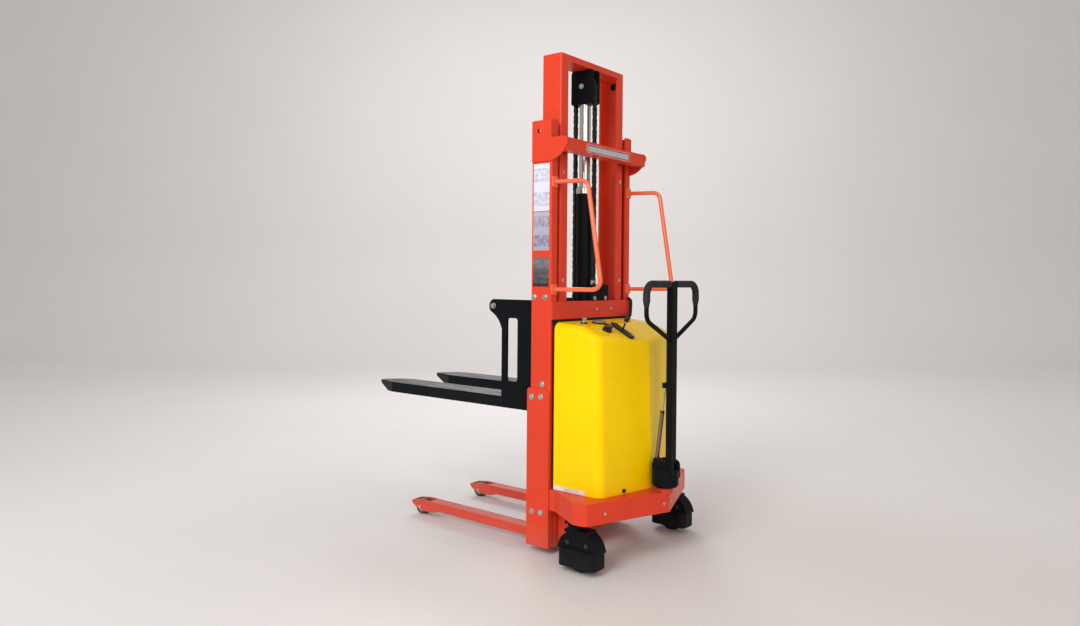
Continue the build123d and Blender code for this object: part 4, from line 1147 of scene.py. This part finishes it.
# ---------------------------------------- gas strut
STRUT_FOOT = Vector((-0.341, 0, 0.408))
STRUT_HEAD = Vector((-0.380, 0, 0.728))
BARREL_MOUTH = 0.203  # distance of the gland from the strut's foot


def strut_collars():
    """Gland on the barrel's mouth and a locking nut under the rod's eye."""
    along = (STRUT_HEAD - STRUT_FOOT).normalized()
    bm = bmesh.new()
    gland = [(0, 4.2), (0, 9.6), (7, 9.6), (9, 7), (9, 4.2)]
    add_lathe(bm, [(z * MM, r * MM) for z, r in gland], STRUT_FOOT + along * BARREL_MOUTH, along, 32)
    piece("strut_gland", bm, black_plastic, "strut_barrel")
    bm = bmesh.new()
    add_prism(bm, hexagon(6.5 * MM), STRUT_HEAD - along * 18 * MM, along, 6 * MM)
    piece("strut_nut", bm, zinc, "strut_rod", rounding=0.4 * MM)


strut_collars()


# ---------------------------------------- finishes of the CAD nodes
finishes = {
    red_paint: "outer_rail_left outer_rail_right top_cheeks side_plates top_crossbar mid_beam mast_foot deck "
    "leg_left leg_right inner_rail_left inner_rail_right inner_ties",
    rail_paint_and_highlight: "grab_rails",
    yellow_paint: "hood",
    fork_enamel: "fork_left fork_right",
    black_paint: "carriage_frame upright_left upright_right ram_head cylinder_barrel chain_anchor "
    "caster_plates caster_fork_left caster_fork_right tiller_turret tiller_bar",
    gunmetal: "strut_barrel",
    zinc: "load_axles bottom_roller_studs tie_shaft pulley_pin cylinder_gland key valve_block "
    "mast_bolts",
    chrome: "piston_rod strut_rod",
    oily_steel: "chain_rear_run chain_front_run chain_wrap",
    cast_iron: "chain_pulley bottom_rollers carriage_rollers_upper carriage_rollers_lower pump_motor",
    tyre: "caster_wheel_left caster_wheel_right load_wheel_left load_wheel_right",
    grip_rubber: "grips",
    black_plastic: "top_guides lever_console panel_fittings lift_lever",
    battery_case: "battery",
    tank_plastic: "oil_tank",
    shade_darkened_red_plastic: "stop_button",
    bright_plate: "badge_plate",
}
for material, names in finishes.items():
    for name in names.split():
        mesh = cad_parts[name].data
        mesh.materials.clear()
        mesh.materials.append(material)


# ---------------------------------------- studio
VIEW_YAW = radians(-51.41)
VIEW_PITCH = radians(-0.25)
VIEW_ROLL = radians(0.5)
CAMERA_AT = (-2.0857, 2.9903, 1.1724)
LENS = 26.81  # millimetres, for a sensor 36 mm wide
LENS_SHIFT = (-0.0007, -0.0282)
AWAY = Vector((cos(VIEW_YAW), sin(VIEW_YAW), 0))  # level direction from the camera to the truck
WALL = 9.0  # distance from the truck to the wall, metres
ROOM_LIGHT = (0.93, 0.91, 0.90, 1.0)


def backdrop():
    """Seamless paper: a floor that curves up into a wall behind the truck."""
    wide, near, far, height, bend = 20.0, -12.0, WALL, 9.0, 1.8
    across = AWAY.cross(Z_AXIS)
    profile = [(near, 0.0)]
    for i in range(13):
        angle = pi / 2 * i / 12
        profile.append((far - bend + bend * sin(angle), bend - bend * cos(angle)))
    profile.append((far, height))
    bm = bmesh.new()
    rows = []
    for distance, z in profile:
        rows.append([bm.verts.new(AWAY * distance + across * side * wide + Z_AXIS * z) for side in (-1, 1)])
    for a, b in zip(rows, rows[1:]):
        bm.faces.new((a[0], a[1], b[1], b[0]))
    mesh = bpy.data.meshes.new("backdrop")
    bm.to_mesh(mesh)
    bm.free()
    mesh.shade_smooth()
    mesh.materials.append(backdrop_paper())
    obj = bpy.data.objects.new("backdrop", mesh)
    bpy.context.scene.collection.objects.link(obj)


def softbox(name, place, target, size, power, colour=WHITE):
    """Rectangular lamp that faces a target."""
    data = bpy.data.lights.new(name, "AREA")
    data.shape = "RECTANGLE"
    data.size, data.size_y = size
    data.energy = power
    data.color = colour
    obj = bpy.data.objects.new(name, data)
    bpy.context.scene.collection.objects.link(obj)
    obj.location = place
    obj.rotation_euler = (Vector(target) - Vector(place)).to_track_quat("-Z", "Y").to_euler()


def studio_light():
    softbox("key", (-0.6, 4.6, 3.2), (0, 0, 0.9), (2.2, 2.6), 160)
    softbox("rear fill", (-4.2, 3.0, 2.2), (0, 0, 0.9), (2.0, 2.6), 62, WARM)
    softbox("rim", (3.4, -3.0, 3.6), (0, 0, 1.2), (1.6, 1.6), 60)
    softbox("wall light", AWAY * (WALL - 4.4) + Z_AXIS * 5.0, AWAY * WALL + Z_AXIS, (7.0, 1.0), 105)
    world = bpy.data.worlds.new("studio")
    bpy.context.scene.world = world
    world.use_nodes = True
    background = world.node_tree.nodes["Background"]
    background.inputs["Color"].default_value = ROOM_LIGHT
    background.inputs["Strength"].default_value = 0.56


def camera():
    """Looks from behind the truck's left rear corner, a little above the hood, with the lens shifted down."""
    ahead = Vector((cos(VIEW_PITCH) * cos(VIEW_YAW), cos(VIEW_PITCH) * sin(VIEW_YAW), sin(VIEW_PITCH)))
    right = ahead.cross(Z_AXIS).normalized()
    up = right.cross(ahead)
    x = right * cos(VIEW_ROLL) + up * sin(VIEW_ROLL)
    y = up * cos(VIEW_ROLL) - right * sin(VIEW_ROLL)
    data = bpy.data.cameras.new("camera")
    data.sensor_width = 36.0
    data.lens = LENS
    data.shift_x, data.shift_y = LENS_SHIFT
    obj = bpy.data.objects.new("camera", data)
    bpy.context.scene.collection.objects.link(obj)
    turn = Matrix((x, y, -ahead)).transposed().to_4x4()
    obj.matrix_world = Matrix.Translation(CAMERA_AT) @ turn
    bpy.context.scene.camera = obj


backdrop()
studio_light()
camera()
bpy.context.scene.view_settings.view_transform = "Standard"
